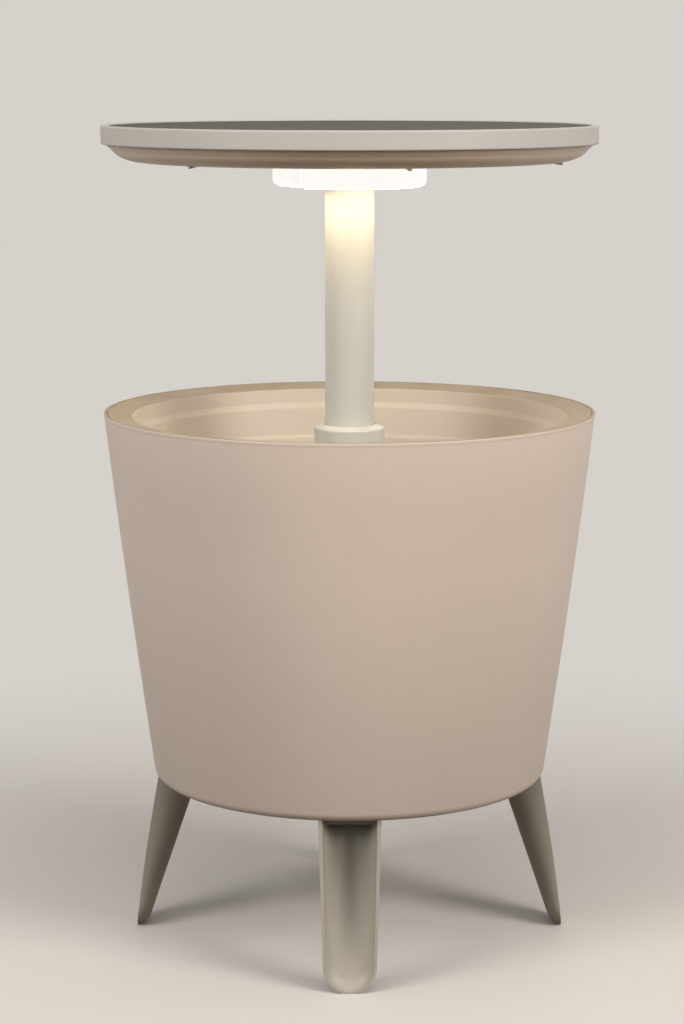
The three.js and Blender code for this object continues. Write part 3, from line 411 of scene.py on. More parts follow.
def noise(tree, place, size, detail=2.0, roughness=0.5):
    """Noise whose blotches are about size metres across."""
    return node(tree, "ShaderNodeTexNoise", {
        "Vector": place, "Scale": 1 / size, "Detail": detail, "Roughness": roughness})["Fac"]


def mapped(tree, value, from_low, from_high, to_low=0, to_high=1, **settings):
    return node(tree, "ShaderNodeMapRange", {
        "Value": value, "From Min": from_low, "From Max": from_high, "To Min": to_low, "To Max": to_high},
        **settings)["Result"]


def between(tree, cloud, lowest, highest):
    """Noise as a value between two."""
    return mapped(tree, cloud, NOISE_LOW, NOISE_HIGH, lowest, highest)


def blended(tree, factor, first, second):
    """A colour between two, each of them a colour or a node's output."""
    return node(tree, "ShaderNodeMix", {0: factor, 6: first, 7: second}, data_type="RGBA")[2]


def clouded(tree, cloud, colour, darkest, lightest):
    """A colour whose tone follows noise."""
    return blended(tree, cloud, tinted(colour, darkest), tinted(colour, lightest))


def bumped(tree, height, depth, strength, **under):
    return node(tree, "ShaderNodeBump", {
        "Height": height, "Distance": depth, "Strength": strength, **under})["Normal"]


def along(tree, axis):
    """The place of the point on one axis."""
    return node(tree, "ShaderNodeSeparateXYZ", {"Vector": point_of(tree)})[axis]


def from_axis(tree):
    """The point as seen from above, from the column's axis."""
    return vector_maths(tree, "MULTIPLY", "Vector", point_of(tree), (1, 1, 0))


def reach_from_axis(tree):
    """The distance of the point from the column's axis."""
    return vector_maths(tree, "LENGTH", "Value", from_axis(tree))


def facing_out(tree):
    """One where the face looks away from the column's axis, zero where it looks sideways or inwards."""
    away = vector_maths(tree, "NORMALIZE", "Vector", from_axis(tree))
    lean = vector_maths(tree, "DOT_PRODUCT", "Value", away, point_of(tree, "Normal"))
    return mapped(tree, lean, SIDEWAYS, OUTWARDS)


# Finishes

def material_of(name):
    """A new material, its node tree and its place on the piece."""
    material = bpy.data.materials.new(name)
    material.use_nodes = True
    return material, material.node_tree, place_on(material.node_tree)


def finished(material, inputs):
    """The material with its shader's inputs wired."""
    wired(material.node_tree, material.node_tree.nodes["Principled BSDF"], inputs)
    return material


def moulded_plastic(name, colour, roughness, grain=0.7 * MM, grain_depth=0.03 * MM, mottle=0.03,
                    depth_glow=0.0):
    """Moulded resin: soft mottle, flow marks, handling marks, fine mould grain and slight waviness."""
    material, tree, place = material_of(name)
    tone = clouded(tree, noise(tree, place, MOTTLE_SIZE, 3), colour, 1 - mottle, 1 + mottle)
    flow = mapped(tree, noise(tree, place_on(tree, (1, 1, 0.12)), FLOW_SIZE, 4), 0.48, 0.75, 0, 0.22)
    tone = blended(tree, flow, tone, tinted(colour, 1 + 1.6 * mottle))
    marks = mapped(tree, noise(tree, place, MARK_SIZE, 5, 0.7), 0.63, 0.72, 0, 0.35)
    rubbed = noise(tree, place, RUB_SIZE, 4, 0.6)
    wavy = bumped(tree, noise(tree, place, WAVE_SIZE), 0.9 * MM, 0.12)
    return finished(material, {
        "Base Color": blended(tree, marks, tone, tinted(colour, 1 - 2.2 * mottle)),
        "Roughness": between(tree, rubbed, roughness - 0.06, roughness + 0.07),
        "Normal": bumped(tree, noise(tree, place, grain, 3, 0.6), grain_depth, 0.5, Normal=wavy),
        "Subsurface Weight": depth_glow, "Subsurface Scale": RESIN_GLOW_REACH,
        "Subsurface Radius": (1.0, 0.75, 0.5), "IOR": 1.49})


def shaded(material, share, colour):
    """The material with its tone drawn towards another colour where share rises to one."""
    tree = material.node_tree
    tone = tree.nodes["Principled BSDF"].inputs["Base Color"].links[0].from_socket
    return finished(material, {"Base Color": blended(tree, share, tone, colour)})


def bucket_plastic(name, colour):
    """Resin with painted shade deepening towards the base, painted lamp light under the rim, and the flange's
    painted tan on the crest.
    """
    material = moulded_plastic(name, colour, 0.46, depth_glow=0.03)
    tree = material.node_tree
    height = along(tree, "Z")
    # painted shade: darker towards the base, where less light reaches
    shaded(material, mapped(tree, height, BASE_HEIGHT, BASE_SHADE_TOP, 1, 0), tinted(colour, BASE_SHADE_SHARE))
    # painted light: the wall lightens towards the rim, for the lamp's light through the plastic
    shaded(material, mapped(tree, height, RIM_HEIGHT - RIM_LIGHT_DEPTH, RIM_HEIGHT),
           tinted(colour, RIM_LIGHT_SHARE))
    # painted shade: the inner part of the rim's crest takes the flange's painted tan, in place of the
    # highlight the lamp puts there
    crest = mapped(tree, height, RIM_HEIGHT - 3 * RIM_SEAT_DEPTH, RIM_HEIGHT - RIM_SEAT_DEPTH)
    inside = mapped(tree, reach_from_axis(tree), RIM_RADIUS - CREST_SHADE_WIDTH, RIM_RADIUS - CREST_SHADE_WIDTH / 2, 1, 0)
    return shaded(material, maths(tree, "MULTIPLY", crest, inside), FLANGE_SHADE_TAN)


def liner_plastic(name, colour, flange_shade):
    """Resin whose flange, outside the mouth's lip, is painted a darker, warmer tan: painted shade from the
    tabletop above with painted warm lamp light.
    """
    material = moulded_plastic(name, colour, 0.5, grain_depth=0.02 * MM, depth_glow=0.03)
    tree = material.node_tree
    outside = mapped(tree, reach_from_axis(tree), LIP_RADIUS, LIP_RADIUS + LIP_ROUNDING)
    return shaded(material, outside, flange_shade)


def leg_plastic(name, colour):
    """Resin with painted shade: darker towards the bucket above, darker in the depth of the trough, and
    darker still under the bucket's arched shadow over the trough's top.
    """
    material = moulded_plastic(name, colour, 0.44)
    tree = material.node_tree
    height = along(tree, "Z")
    # painted shade: darker towards the top, which the bucket above shades
    shaded(material, mapped(tree, height, LEG_TOP / 3, LEG_TOP), tinted(colour, LEG_TOP_SHADE_SHARE))
    lip = mapped(tree, height, 0, LEG_TOP, LEG_TIP_RADIUS, LEG_TOP_LIP_RADIUS)
    behind = maths(tree, "SUBTRACT", lip, reach_from_axis(tree))
    inside = facing_out(tree)
    # painted shade in the depth of the trough, on the faces that look away from the axis
    hollow = mapped(tree, behind, LEG_HOLLOW_START, LEG_HOLLOW_END)
    shaded(material, maths(tree, "MULTIPLY", hollow, inside), tinted(colour, LEG_HOLLOW_SHADE_SHARE))
    # painted shadow: the bucket's arched shadow over the trough's top, reaching lower at the middle of the
    # trough
    shadow_arch = maths(tree, "ADD", height, mapped(tree, behind, 0, LEG_SHADE_RUN, 0, LEG_SHADE_DROP))
    bucket_shadow = mapped(tree, shadow_arch, LEG_TOP - LEG_SHADE_EDGE, LEG_TOP + LEG_SHADE_EDGE)
    return shaded(material, maths(tree, "MULTIPLY", bucket_shadow, inside), tinted(colour, LEG_SHADOW_SHARE))


def grained_inlay(name, colour):
    """Warm grey resin whose grey is partly painted shade, darker than the resin as if the top reflected dark
    surroundings, with a leathery non-slip grain and faint wiping marks.
    """
    material, tree, place = material_of(name)
    pits = node(tree, "ShaderNodeTexVoronoi", {"Vector": place, "Scale": 1 / (1.6 * MM)},
                feature="SMOOTH_F1")["Distance"]
    shade = mapped(tree, pits, 0.1, 0.6, 0, 0.4)
    tone = clouded(tree, noise(tree, place, 0.09, 4), colour, 0.93, 1.07)
    grain = bumped(tree, pits, 0.12 * MM, 0.6)
    return finished(material, {
        "Base Color": blended(tree, shade, tone, tinted(colour, 0.86)),
        "Roughness": between(tree, noise(tree, place_on(tree, (1, 4, 1)), 0.08, 3), 0.66, 0.72),
        "Specular IOR Level": 0.1,
        "Normal": bumped(tree, noise(tree, place, 0.4 * MM), 0.03 * MM, 0.4, Normal=grain)})


def seal_rubber(name, colour):
    """Black rubber with a faint bloom."""
    material, tree, place = material_of(name)
    bloom = noise(tree, place, 0.008, 4)
    return finished(material, {
        "Base Color": clouded(tree, bloom, colour, 0.8, 1.7), "Roughness": between(tree, bloom, 0.72, 0.9),
        "Normal": bumped(tree, noise(tree, place, 0.5 * MM), 0.04 * MM, 0.6)})


def plated_steel(name, colour, roughness=0.3):
    """Plated steel: slightly cloudy, with fine drawing marks."""
    material, tree, place = material_of(name)
    cloud = noise(tree, place, 0.004, 3)
    drawn = noise(tree, place_on(tree, (1, 1, 9)), 0.6 * MM)
    return finished(material, {
        "Metallic": 1, "Base Color": clouded(tree, cloud, colour, 0.84, 1.08),
        "Roughness": between(tree, cloud, roughness - 0.06, roughness + 0.12),
        "Normal": bumped(tree, drawn, 0.02 * MM, 0.4)})


def lit_opal(name, glow, side_glow, bottom):
    """Opal resin lit from inside: brightest underneath and round the column, cloudy, warmer at its edges."""
    material, tree, place = material_of(name)
    reach = reach_from_axis(tree)
    below = mapped(tree, along(tree, "Z"), bottom, bottom + LAMP_FADE, 1, 0)
    outward_glow = mapped(tree, reach, LAMP_INNER_RADIUS + LAMP_BORE_WIDTH,
                          LAMP_RADIUS - LAMP_ROUNDING, LAMP_BORE_GLOW, glow)
    skin_glow = mapped(tree, reach, LAMP_INNER_RADIUS, LAMP_INNER_RADIUS + LAMP_WALL,
                       LAMP_BORE_GLOW, side_glow)
    skin_tone = clouded(tree, between(tree, noise(tree, place, 0.03), 0, 1), LAMP_SKIN, 1, 0.97)
    return finished(material, {
        "Base Color": clouded(tree, noise(tree, place, 0.03, 3), OPAL, 0.95, 1),
        "Emission Color": blended(tree, below, skin_tone, LAMP_CAST),
        "Emission Strength": node(tree, "ShaderNodeMix", {0: below, 2: skin_glow, 3: outward_glow})[0],
        "Roughness": between(tree, noise(tree, place, 0.02, 3), 0.36, 0.5),
        "Normal": bumped(tree, noise(tree, place, 0.8 * MM), 0.03 * MM, 0.4)})


def circuit_laminate(name, colour):
    """White solder mask over faint copper tracks."""
    material, tree, place = material_of(name)
    tracks = node(tree, "ShaderNodeTexBrick", {
        "Vector": place, "Scale": 60, "Mortar Size": 0.03, "Color1": colour, "Color2": tinted(colour, 0.95),
        "Mortar": tinted(colour, 0.72)})["Color"]
    return finished(material, {
        "Base Color": tracks, "Roughness": between(tree, noise(tree, place, 0.01, 3), 0.3, 0.42)})


def cell_jacket(name, band_start, band_end):
    """A shrunk sleeve with a lighter band at one end."""
    material, tree, place = material_of(name)
    smudge = noise(tree, place, 0.01, 3)
    band = mapped(tree, along(tree, "Y"), band_start, band_end)
    jacket = clouded(tree, smudge, JACKET_GREEN, 0.9, 1.1)
    return finished(material, {
        "Base Color": blended(tree, band, jacket, JACKET_BAND),
        "Roughness": between(tree, smudge, 0.28, 0.4),
        "Normal": bumped(tree, noise(tree, place, 0.003), 0.05 * MM, 0.3)})


cream_resin = bucket_plastic("cream_resin", CREAM)
liner_resin = liner_plastic("liner_resin", CREAM_LINER, FLANGE_SHADE_TAN)
white_resin = moulded_plastic("white_resin", OFF_WHITE, 0.4, grain_depth=0.02 * MM)
lid_resin = moulded_plastic("lid_resin", LID_WHITE, 0.48, grain_depth=0.02 * MM)
column_resin = moulded_plastic("column_resin", COLUMN_WHITE, 0.36, grain=0.5 * MM, grain_depth=0.015 * MM)
dish_resin = moulded_plastic("dish_resin", UNDERSIDE_TAN, 0.4, grain_depth=0.02 * MM)
leg_resin = leg_plastic("leg_resin", LEG_WHITE)
inner_resin = moulded_plastic("inner_resin", INNER_WHITE, 0.5)
bearing_resin = moulded_plastic("bearing_resin", BEARING_GREY, 0.38, mottle=0.06)
inlay_resin = grained_inlay("inlay_resin", INLAY_GREY_AND_SHADE)
black_rubber = seal_rubber("black_rubber", SEAL_BLACK)
zinc_plate = plated_steel("zinc_plate", ZINC)
# dark steel standing in for the shade where the leg screws sit
black_steel = plated_steel("black_steel", SCREW_SHADE_DARK, 0.5)
opal_resin = lit_opal("opal_resin", LAMP_GLOW, LAMP_SIDE_GLOW, LAMP_BOTTOM)
cover_resin = lit_opal("cover_resin", COVER_GLOW, COVER_SIDE_GLOW, COVER_BOTTOM)
board_laminate = circuit_laminate("board_laminate", BOARD_WHITE)


# Outlines: points are (distance from the axis, height)

def spread(first, last, steps):
    """Evenly spaced values from first to last."""
    return [first + (last - first) * i / steps for i in range(steps + 1)]


def arc(centre_radius, centre_height, size, start, end, steps, squash=1.0):
    """Points on an arc, angles in degrees."""
    angles = [math.radians(angle) for angle in spread(start, end, steps)]
    return [(centre_radius + size * math.cos(a), centre_height + size * squash * math.sin(a)) for a in angles]


def rounded(corners):
    """An outline whose corners (radius, height, rounding) are turned into arcs."""
    points = []
    for i, (radius, height, *rounding) in enumerate(corners):
        here = Vector((radius, height))
        if not rounding:
            points.append(tuple(here))
            continue
        before = (Vector(corners[i - 1][:2]) - here).normalized()
        after = (Vector(corners[(i + 1) % len(corners)][:2]) - here).normalized()
        half = before.angle(after) / 2
        centre = here + (before + after).normalized() * rounding[0] / math.sin(half)
        first = here + before * rounding[0] / math.tan(half) - centre
        last = here + after * rounding[0] / math.tan(half) - centre
        sweep = first.angle_signed(last)
        steps = max(2, math.ceil(abs(sweep) / ARC_STEP))
        points += [tuple(centre + Matrix.Rotation(-sweep * k / steps, 2) @ first) for k in range(steps + 1)]
    return points


# Geometry Nodes

def group_of(name, **inputs):
    """A node group with named inputs: the group, each input's identifier, and the outputs that carry them."""
    tree = bpy.data.node_groups.new(name, "GeometryNodeTree")
    identifiers = {}
    for label, kind in inputs.items():
        socket = tree.interface.new_socket(label.replace("_", " "), in_out="INPUT",
                                           socket_type="NodeSocket" + kind)
        identifiers[label] = socket.identifier
    tree.interface.new_socket("Moulding", in_out="OUTPUT", socket_type="NodeSocketGeometry")
    return tree, identifiers, node(tree, "NodeGroupInput")


def close_group(tree, start, result):
    """Ends a tree in real faces with their finish."""
    real = node(tree, "GeometryNodeRealizeInstances", {"Geometry": result})["Geometry"]
    faces = node(tree, "GeometryNodeSetMaterial", {"Geometry": real, "Material": start["Finish"]})["Geometry"]
    node(tree, "NodeGroupOutput", {0: faces})


def turning_tree():
    """Turns a flat outline about the column's axis and welds its poles."""
    tree, identifiers, start = group_of("turned_moulding", Outline="Geometry", Sides="Int", Finish="Material")
    line = node(tree, "GeometryNodeMeshToCurve", {"Mesh": start["Outline"]})["Curve"]
    path = node(tree, "GeometryNodeCurvePrimitiveCircle", {
        "Resolution": start["Sides"], "Radius": TURN_RADIUS})["Curve"]
    upright = node(tree, "GeometryNodeSetCurveNormal", {"Curve": path}, mode="Z_UP")["Curve"]
    swept = node(tree, "GeometryNodeCurveToMesh", {"Curve": upright, "Profile Curve": line})["Mesh"]
    welded = node(tree, "GeometryNodeMergeByDistance", {"Geometry": swept, "Distance": MERGE_DISTANCE})
    close_group(tree, start, welded["Geometry"])
    return tree, identifiers


def ring_tree():
    """Copies one shape round the column's axis, each copy turned to face outwards."""
    tree, identifiers, start = group_of(
        "ring_of_copies", Outline="Geometry", Copy="Object", Count="Int", Radius="Float", Height="Float",
        First_angle="Float", Step="Float", Own_turn="Float", Finish="Material")
    index = node(tree, "GeometryNodeInputIndex")["Index"]
    angle = maths(tree, "MULTIPLY_ADD", index, start["Step"], start["First angle"])
    across, back = (maths(tree, "MULTIPLY", maths(tree, wave, angle), start["Radius"])
                    for wave in ("COSINE", "SINE"))
    place = node(tree, "ShaderNodeCombineXYZ", {"X": across, "Y": back, "Z": start["Height"]})["Vector"]
    own = maths(tree, "MULTIPLY", index, start["Own turn"])
    turn = node(tree, "ShaderNodeCombineXYZ", {"Z": maths(tree, "ADD", angle, own)})["Vector"]
    points = node(tree, "GeometryNodePoints", {"Count": start["Count"]})[0]
    placed = node(tree, "GeometryNodeSetPosition", {"Geometry": points, "Position": place})["Geometry"]
    copied = node(tree, "GeometryNodeObjectInfo", {"Object": start["Copy"]})["Geometry"]
    ring = node(tree, "GeometryNodeInstanceOnPoints", {
        "Points": placed, "Instance": copied, "Rotation": turn})["Instances"]
    close_group(tree, start, ring)
    return tree, identifiers


turning = turning_tree()
ringing = ring_tree()


# Shapes

def linked(name, mesh):
    """A new object in the scene."""
    shape = bpy.data.objects.new(name, mesh)
    bpy.context.scene.collection.objects.link(shape)
    return shape


def shape_of(name, vertices, edges=(), faces=()):
    mesh = bpy.data.meshes.new(name)
    mesh.from_pydata([tuple(v) for v in vertices], list(edges), list(faces))
    return linked(name, mesh)


def with_nodes(shape, group, **values):
    """Puts a node group on a shape, with its inputs set by their identifiers."""
    tree, identifiers = group
    modifier = shape.modifiers.new(tree.name, "NODES")
    modifier.node_group = tree
    for label, value in values.items():
        modifier[identifiers[label]] = value
    return shape


def baked(shape):
    """The shape's mesh with its modifiers made real."""
    bpy.context.view_layer.update()
    graph = bpy.context.evaluated_depsgraph_get()
    return bpy.data.meshes.new_from_object(shape.evaluated_get(graph), depsgraph=graph)


def outward(mesh):
    """Merges doubles, drops points in the middle of straight edges and turns every face outwards."""
    work = bmesh.new()
    work.from_mesh(mesh)
    bmesh.ops.remove_doubles(work, verts=work.verts, dist=MERGE_DISTANCE)
    bmesh.ops.dissolve_degenerate(work, edges=work.edges, dist=MERGE_DISTANCE / 4)
    straight = [vert for vert in work.verts
                if len(vert.link_edges) == 2 and vert.calc_edge_angle(0) < STRAIGHT_ANGLE]
    bmesh.ops.dissolve_verts(work, verts=straight)
    bmesh.ops.recalc_face_normals(work, faces=work.faces)
    work.to_mesh(mesh)
    work.free()


def solid(shape):
    """A plain, outward-facing copy of a shape with its modifiers made real. The shape goes."""
    mesh = baked(shape)
    outward(mesh)
    result = linked(shape.name, mesh)
    bpy.data.objects.remove(shape)
    return result


def turned(name, outline, sides=BIG_SIDES):
    """An outline turned about the axis. It closes on itself unless it starts and ends on the axis."""
    count = len(outline)
    on_axis = outline[0][0] == 0 and outline[-1][0] == 0
    points = [(radius - TURN_RADIUS, -height, 0) for radius, height in outline]
    edges = [(i, (i + 1) % count) for i in range(count - on_axis)]
    return solid(with_nodes(shape_of(name, points, edges), turning, Sides=sides))


def moved(shape, place=(0, 0, 0), turn=0.0):
    """Turns a shape's mesh about Z, then moves it."""
    shape.data.transform(Matrix.Translation(place) @ Matrix.Rotation(turn, 4, "Z"))
    return shape


def post(name, radius, bottom, top, sides=SMALL_SIDES):
    return turned(name, [(0, bottom), (radius, bottom), (radius, top), (0, top)], sides)


def block(name, length, width, height, centre=(0, 0, 0)):
    work = bmesh.new()
    bmesh.ops.create_cube(work, size=1)
    bmesh.ops.scale(work, vec=(length, width, height), verts=work.verts)
    bmesh.ops.translate(work, vec=centre, verts=work.verts)
    shape = shape_of(name, [])
    work.to_mesh(shape.data)
    work.free()
    return shape


def combined(shape, *tools, operation="DIFFERENCE"):
    """Cuts, joins or crosses a shape with closed tools, which go."""
    for tool in tools:
        modifier = shape.modifiers.new(tool.name, "BOOLEAN")
        modifier.operation = operation
        modifier.solver = "EXACT"
        modifier.object = tool
    result = solid(shape)
    for tool in tools:
        bpy.data.objects.remove(tool)
    return result


def skin(name, rings):
    """A closed skin over rings of equally many points, capped at both ends."""
    count = len(rings[0])
    faces = [tuple(range(count)), tuple(reversed(range((len(rings) - 1) * count, len(rings) * count)))]
    for level in range(len(rings) - 1):
        for i in range(count):
            a, b = level * count + i, level * count + (i + 1) % count
            faces.append((a, a + count, b + count, b))
    return solid(shape_of(name, [point for ring in rings for point in ring], faces=faces))


def bevelled(shape, width, segments=3, angle=BEVEL_ANGLE):
    modifier = shape.modifiers.new("bevel", "BEVEL")
    modifier.width = width
    modifier.segments = segments
    modifier.limit_method = "ANGLE"
    modifier.angle_limit = angle
    modifier.harden_normals = False
    return solid(shape)


def dressed(shape, name, finish, slot, body, *nodes):
    """Gives a finished shape its shading, finish and body, in place of the solids it stands for. The slot is
    not used.
    """
    mesh = shape.data
    mesh.materials.clear()
    mesh.materials.append(finish)
    for polygon in mesh.polygons:
        polygon.material_index = 0
    mesh.shade_smooth()
    mesh.set_sharp_from_angle(angle=SHARP_ANGLE)
    shape.modifiers.new("weighted", "WEIGHTED_NORMAL").keep_sharp = True
    piece = linked(name, baked(shape))
    piece.data.name = name
    bpy.data.objects.remove(shape)
    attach(piece, body)
    if nodes:
        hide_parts(*nodes)
    return piece


def moulding(name, outline, finish, slot, body, *nodes, sides=MIDDLE_SIDES, place=(0, 0, 0), cuts=()):
    """A dressed piece turned from an outline, put in its place and cut by closed shapes."""
    shape = moved(turned(name + "_work", outline, sides), place)
    if cuts:
        shape = combined(shape, *cuts)
    return dressed(shape, name, finish, slot, body, *nodes)


def copies(name, shape, finish, slot, body, *nodes, count=None, radius=0.0, height=0.0, first=0.0, step=None,
           own=0.0):
    """A ring of copies of a shape as one piece, evenly spread unless a step is given. The shape goes."""
    count = count or len(nodes)
    step = step or 2 * math.pi / count
    ring = with_nodes(shape_of(name + "_work", []), ringing, Copy=shape, Count=count, Radius=radius,
                      Height=height, First_angle=first, Step=step, Own_turn=own, Finish=finish)
    piece = dressed(solid(ring), name, finish, slot, body, *nodes)
    bpy.data.objects.remove(shape)
    return piece


def drain_hole(name, bottom, top):
    """What the drain takes out of a floor between two heights."""
    return moved(post(name, SPOUT_RADIUS + SEAT_GAP, bottom - CUT_OVERRUN, top + CUT_OVERRUN), DRAIN_PLACE)


def screw_wells(name, circle, radius, depth, floor_height, sides):
    """What four sunk screw heads take out of a floor."""
    return [moved(post(f"{name}_{i}", radius, floor_height - CUT_OVERRUN, floor_height + depth, sides),
                  (circle * math.cos(EIGHTH + i * QUARTER), circle * math.sin(EIGHTH + i * QUARTER), 0))
            for i in range(4)]


def rubber_ring(name, solid_name, inner, outer, rounding=None, body="base", **fitting):
    """A seal as high as its solid, rounded outside."""
    bottom, top = heights(solid_name)
    rounding = rounding or (top - bottom) / 3
    corners = [(inner, bottom), (outer, bottom, rounding), (outer, top, rounding), (inner, top)]
    return moulding(name, rounded(corners), black_rubber, "seal_rubber", body, solid_name, **fitting)


# Outer bucket

def wall_radius(height):
    share = (height - BASE_HEIGHT) / (RIM_HEIGHT - BASE_HEIGHT)
    return BASE_RADIUS + (RIM_RADIUS - BASE_RADIUS) * share + WALL_BULGE * math.sin(math.pi * share)


def base_line(inset, first_radius):
    """The bucket's floor, its rounded lower edge and its wall, drawn in by inset."""
    lean = math.atan((RIM_RADIUS - BASE_RADIUS) / (RIM_HEIGHT - BASE_HEIGHT))
    bend = BASE_HEIGHT + BASE_ROUNDING
    turn_height = bend - BASE_ROUNDING * math.sin(lean)
    centre = wall_radius(turn_height) - BASE_ROUNDING * math.cos(lean)
    corner = arc(centre, bend, BASE_ROUNDING - inset, -90, -math.degrees(lean), 10)
    wall = [(wall_radius(level) - inset, level)
            for level in spread(turn_height, RIM_HEIGHT - SHELL_WALL / 2, WALL_STEPS)[1:]]
    return [(first_radius, BASE_HEIGHT + inset)] + corner + wall


def outer_bucket():
    rounding = SHELL_WALL / 2
    rim = arc(RIM_RADIUS - rounding, RIM_HEIGHT - rounding, rounding, 0, 90, 6)[1:]
    rim += arc(RIM_RADIUS - SHELL_WALL + RIM_INNER_ROUNDING, RIM_HEIGHT - RIM_INNER_ROUNDING,
               RIM_INNER_ROUNDING, 90, 180, 3)
    outline = base_line(0, GUIDE_DRAIN_RADIUS) + rim + base_line(SHELL_WALL, GUIDE_DRAIN_RADIUS)[::-1]
    return moulding("outer_bucket", outline, cream_resin, "bucket_plastic", "base", "bucket_shell",
                    sides=BIG_SIDES, cuts=[drain_hole("drain_hole", BASE_HEIGHT, BASE_HEIGHT + SHELL_WALL)])


# Inner bucket: rounded mouth, two ledges and a dished floor edge

def inner_bucket():
    band_foot = LIP_HEIGHT - BAND_HEIGHT
    upper_foot = band_foot - LEDGE_DROP - UPPER_WALL_HEIGHT
    band_radius = LIP_RADIUS - BAND_TAPER
    ledge_radius = band_radius - LEDGE_WIDTH
    upper_radius = ledge_radius - UPPER_WALL_TAPER
    hole_radius = GUIDE_RADIUS + 2 * SEAT_GAP
    below = LINER_FLOOR - LINER_WALL
    corners = [
        (hole_radius, LINER_FLOOR),
        (LINER_BASE_RADIUS, LINER_FLOOR, LINER_FLOOR_ROUNDING),
        (upper_radius - WAIST_WIDTH, upper_foot - WAIST_DROP, LEDGE_ROUNDING),
        (upper_radius, upper_foot, LEDGE_ROUNDING),
        (ledge_radius, band_foot - LEDGE_DROP, LEDGE_ROUNDING),
        (band_radius, band_foot, LEDGE_ROUNDING),
        (LIP_RADIUS, LIP_HEIGHT, LIP_ROUNDING),
        (FLANGE_RADIUS, RIM_HEIGHT - FLUSH_DEPTH, FLUSH_DEPTH),
        (FLANGE_RADIUS, RIM_HEIGHT - RIM_SEAT_DEPTH - LINER_WALL),
        (LIP_RADIUS + LINER_WALL, LIP_HEIGHT - LINER_WALL, LIP_ROUNDING / 2),
        (band_radius + LINER_WALL, band_foot - LEDGE_DROP),
        (upper_radius + LINER_WALL, upper_foot - WAIST_DROP),
        (LINER_BASE_RADIUS + LINER_WALL, below, LINER_FLOOR_ROUNDING),
        (hole_radius, below),
    ]
    return moulding("inner_bucket", rounded(corners), liner_resin, "liner_plastic", "base", "bucket_liner",
                    sides=BIG_SIDES, cuts=[drain_hole("floor_hole", below, LINER_FLOOR)])


# Column guide: tube with a ribbed foot flange, its gasket and the collar that shows at the mouth

def column_guide():
    return moulding("column_guide", rounded([
        (CHANNEL_RADIUS, GUIDE_BOTTOM), (GUIDE_RADIUS, GUIDE_BOTTOM), (GUIDE_RADIUS, GUIDE_FLANGE_BOTTOM),
        (GUIDE_FLANGE_RADIUS, GUIDE_FLANGE_BOTTOM, COLLAR_ROUNDING / 3),
        (GUIDE_FLANGE_RADIUS, GUIDE_FLANGE_TOP, COLLAR_ROUNDING),
        (GUIDE_RADIUS, GUIDE_FLANGE_TOP, COLLAR_ROUNDING),
        (GUIDE_RADIUS, GUIDE_TOP, COLLAR_ROUNDING / 3), (CHANNEL_RADIUS, GUIDE_TOP),
    ]), white_resin, "white_plastic", "base", "guide_tube")


def guide_ribs():
    """Small gussets between the guide's flange and its tube."""
    reach = GUIDE_FLANGE_RADIUS - 2 * COLLAR_ROUNDING
    inner = GUIDE_RADIUS - CHANNEL_WALL / 2
    foot, top = GUIDE_FLANGE_TOP - COLLAR_ROUNDING, GUIDE_FLANGE_TOP + GUIDE_RIB_HEIGHT
    side = [(inner, foot), (reach, foot), (reach, GUIDE_FLANGE_TOP + COLLAR_ROUNDING),
            (GUIDE_RADIUS + COLLAR_ROUNDING / 2, top), (inner, top)]
    rib = skin("rib", [[(x, y, z) for x, z in side] for y in (-GUIDE_RIB_WIDTH / 2, GUIDE_RIB_WIDTH / 2)])
    return copies("guide_gussets", bevelled(rib, COLLAR_ROUNDING / 4, 2), white_resin, "white_plastic",
                  "base", count=GUIDE_RIB_COUNT, first=EIGHTH / 2)


def guide_gasket():
    return rubber_ring("guide_gasket", "guide_seal", GUIDE_RADIUS + SEAT_GAP, high("guide_seal").x)


def collar():
    bottom = COLLAR_TOP - COLLAR_HEAD
    bore = COLUMN_RADIUS + SEAT_GAP
    return moulding("collar", rounded([
        (bore, COLUMN_BOTTOM), (SLEEVE_RADIUS, COLUMN_BOTTOM), (SLEEVE_RADIUS, bottom),
        (COLLAR_RADIUS, bottom, COLLAR_ROUNDING / 3),
        (COLLAR_RADIUS, COLLAR_TOP - COLLAR_SLOPE, 1.4 * COLLAR_ROUNDING),
        (bore + COLLAR_ROUNDING, COLLAR_TOP, COLLAR_ROUNDING / 2),
        (bore, COLLAR_TOP - COLLAR_ROUNDING / 2, COLLAR_ROUNDING / 3),
    ]), white_resin, "white_plastic", "base", "guide_collar")


# Drain

IN_DRAIN = {"sides": SMALL_SIDES, "place": DRAIN_PLACE}


def drain_outlet():
    flange_bottom = SPOUT_TOP - SPOUT_FLANGE_THICKNESS
    rounding = SPOUT_FLANGE_THICKNESS / 3
    return moulding("drain_outlet", rounded([
        (SPOUT_BORE, SPOUT_BOTTOM, rounding / 2), (SPOUT_RADIUS, SPOUT_BOTTOM, rounding / 2),
        (SPOUT_RADIUS, flange_bottom), (SPOUT_FLANGE_RADIUS, flange_bottom, rounding / 3),
        (SPOUT_FLANGE_RADIUS - rounding, SPOUT_TOP, rounding),
        (SPOUT_BORE + SPOUT_WALL / 2, SPOUT_TOP, rounding), (SPOUT_BORE, SPOUT_TOP - rounding, rounding),
    ]), white_resin, "white_plastic", "base", "drain_spout", **IN_DRAIN)


def drain_gasket():
    return rubber_ring("drain_gasket", "drain_seal", SPOUT_RADIUS + SEAT_GAP,
                       SPOUT_FLANGE_RADIUS - SEAT_GAP, **IN_DRAIN)


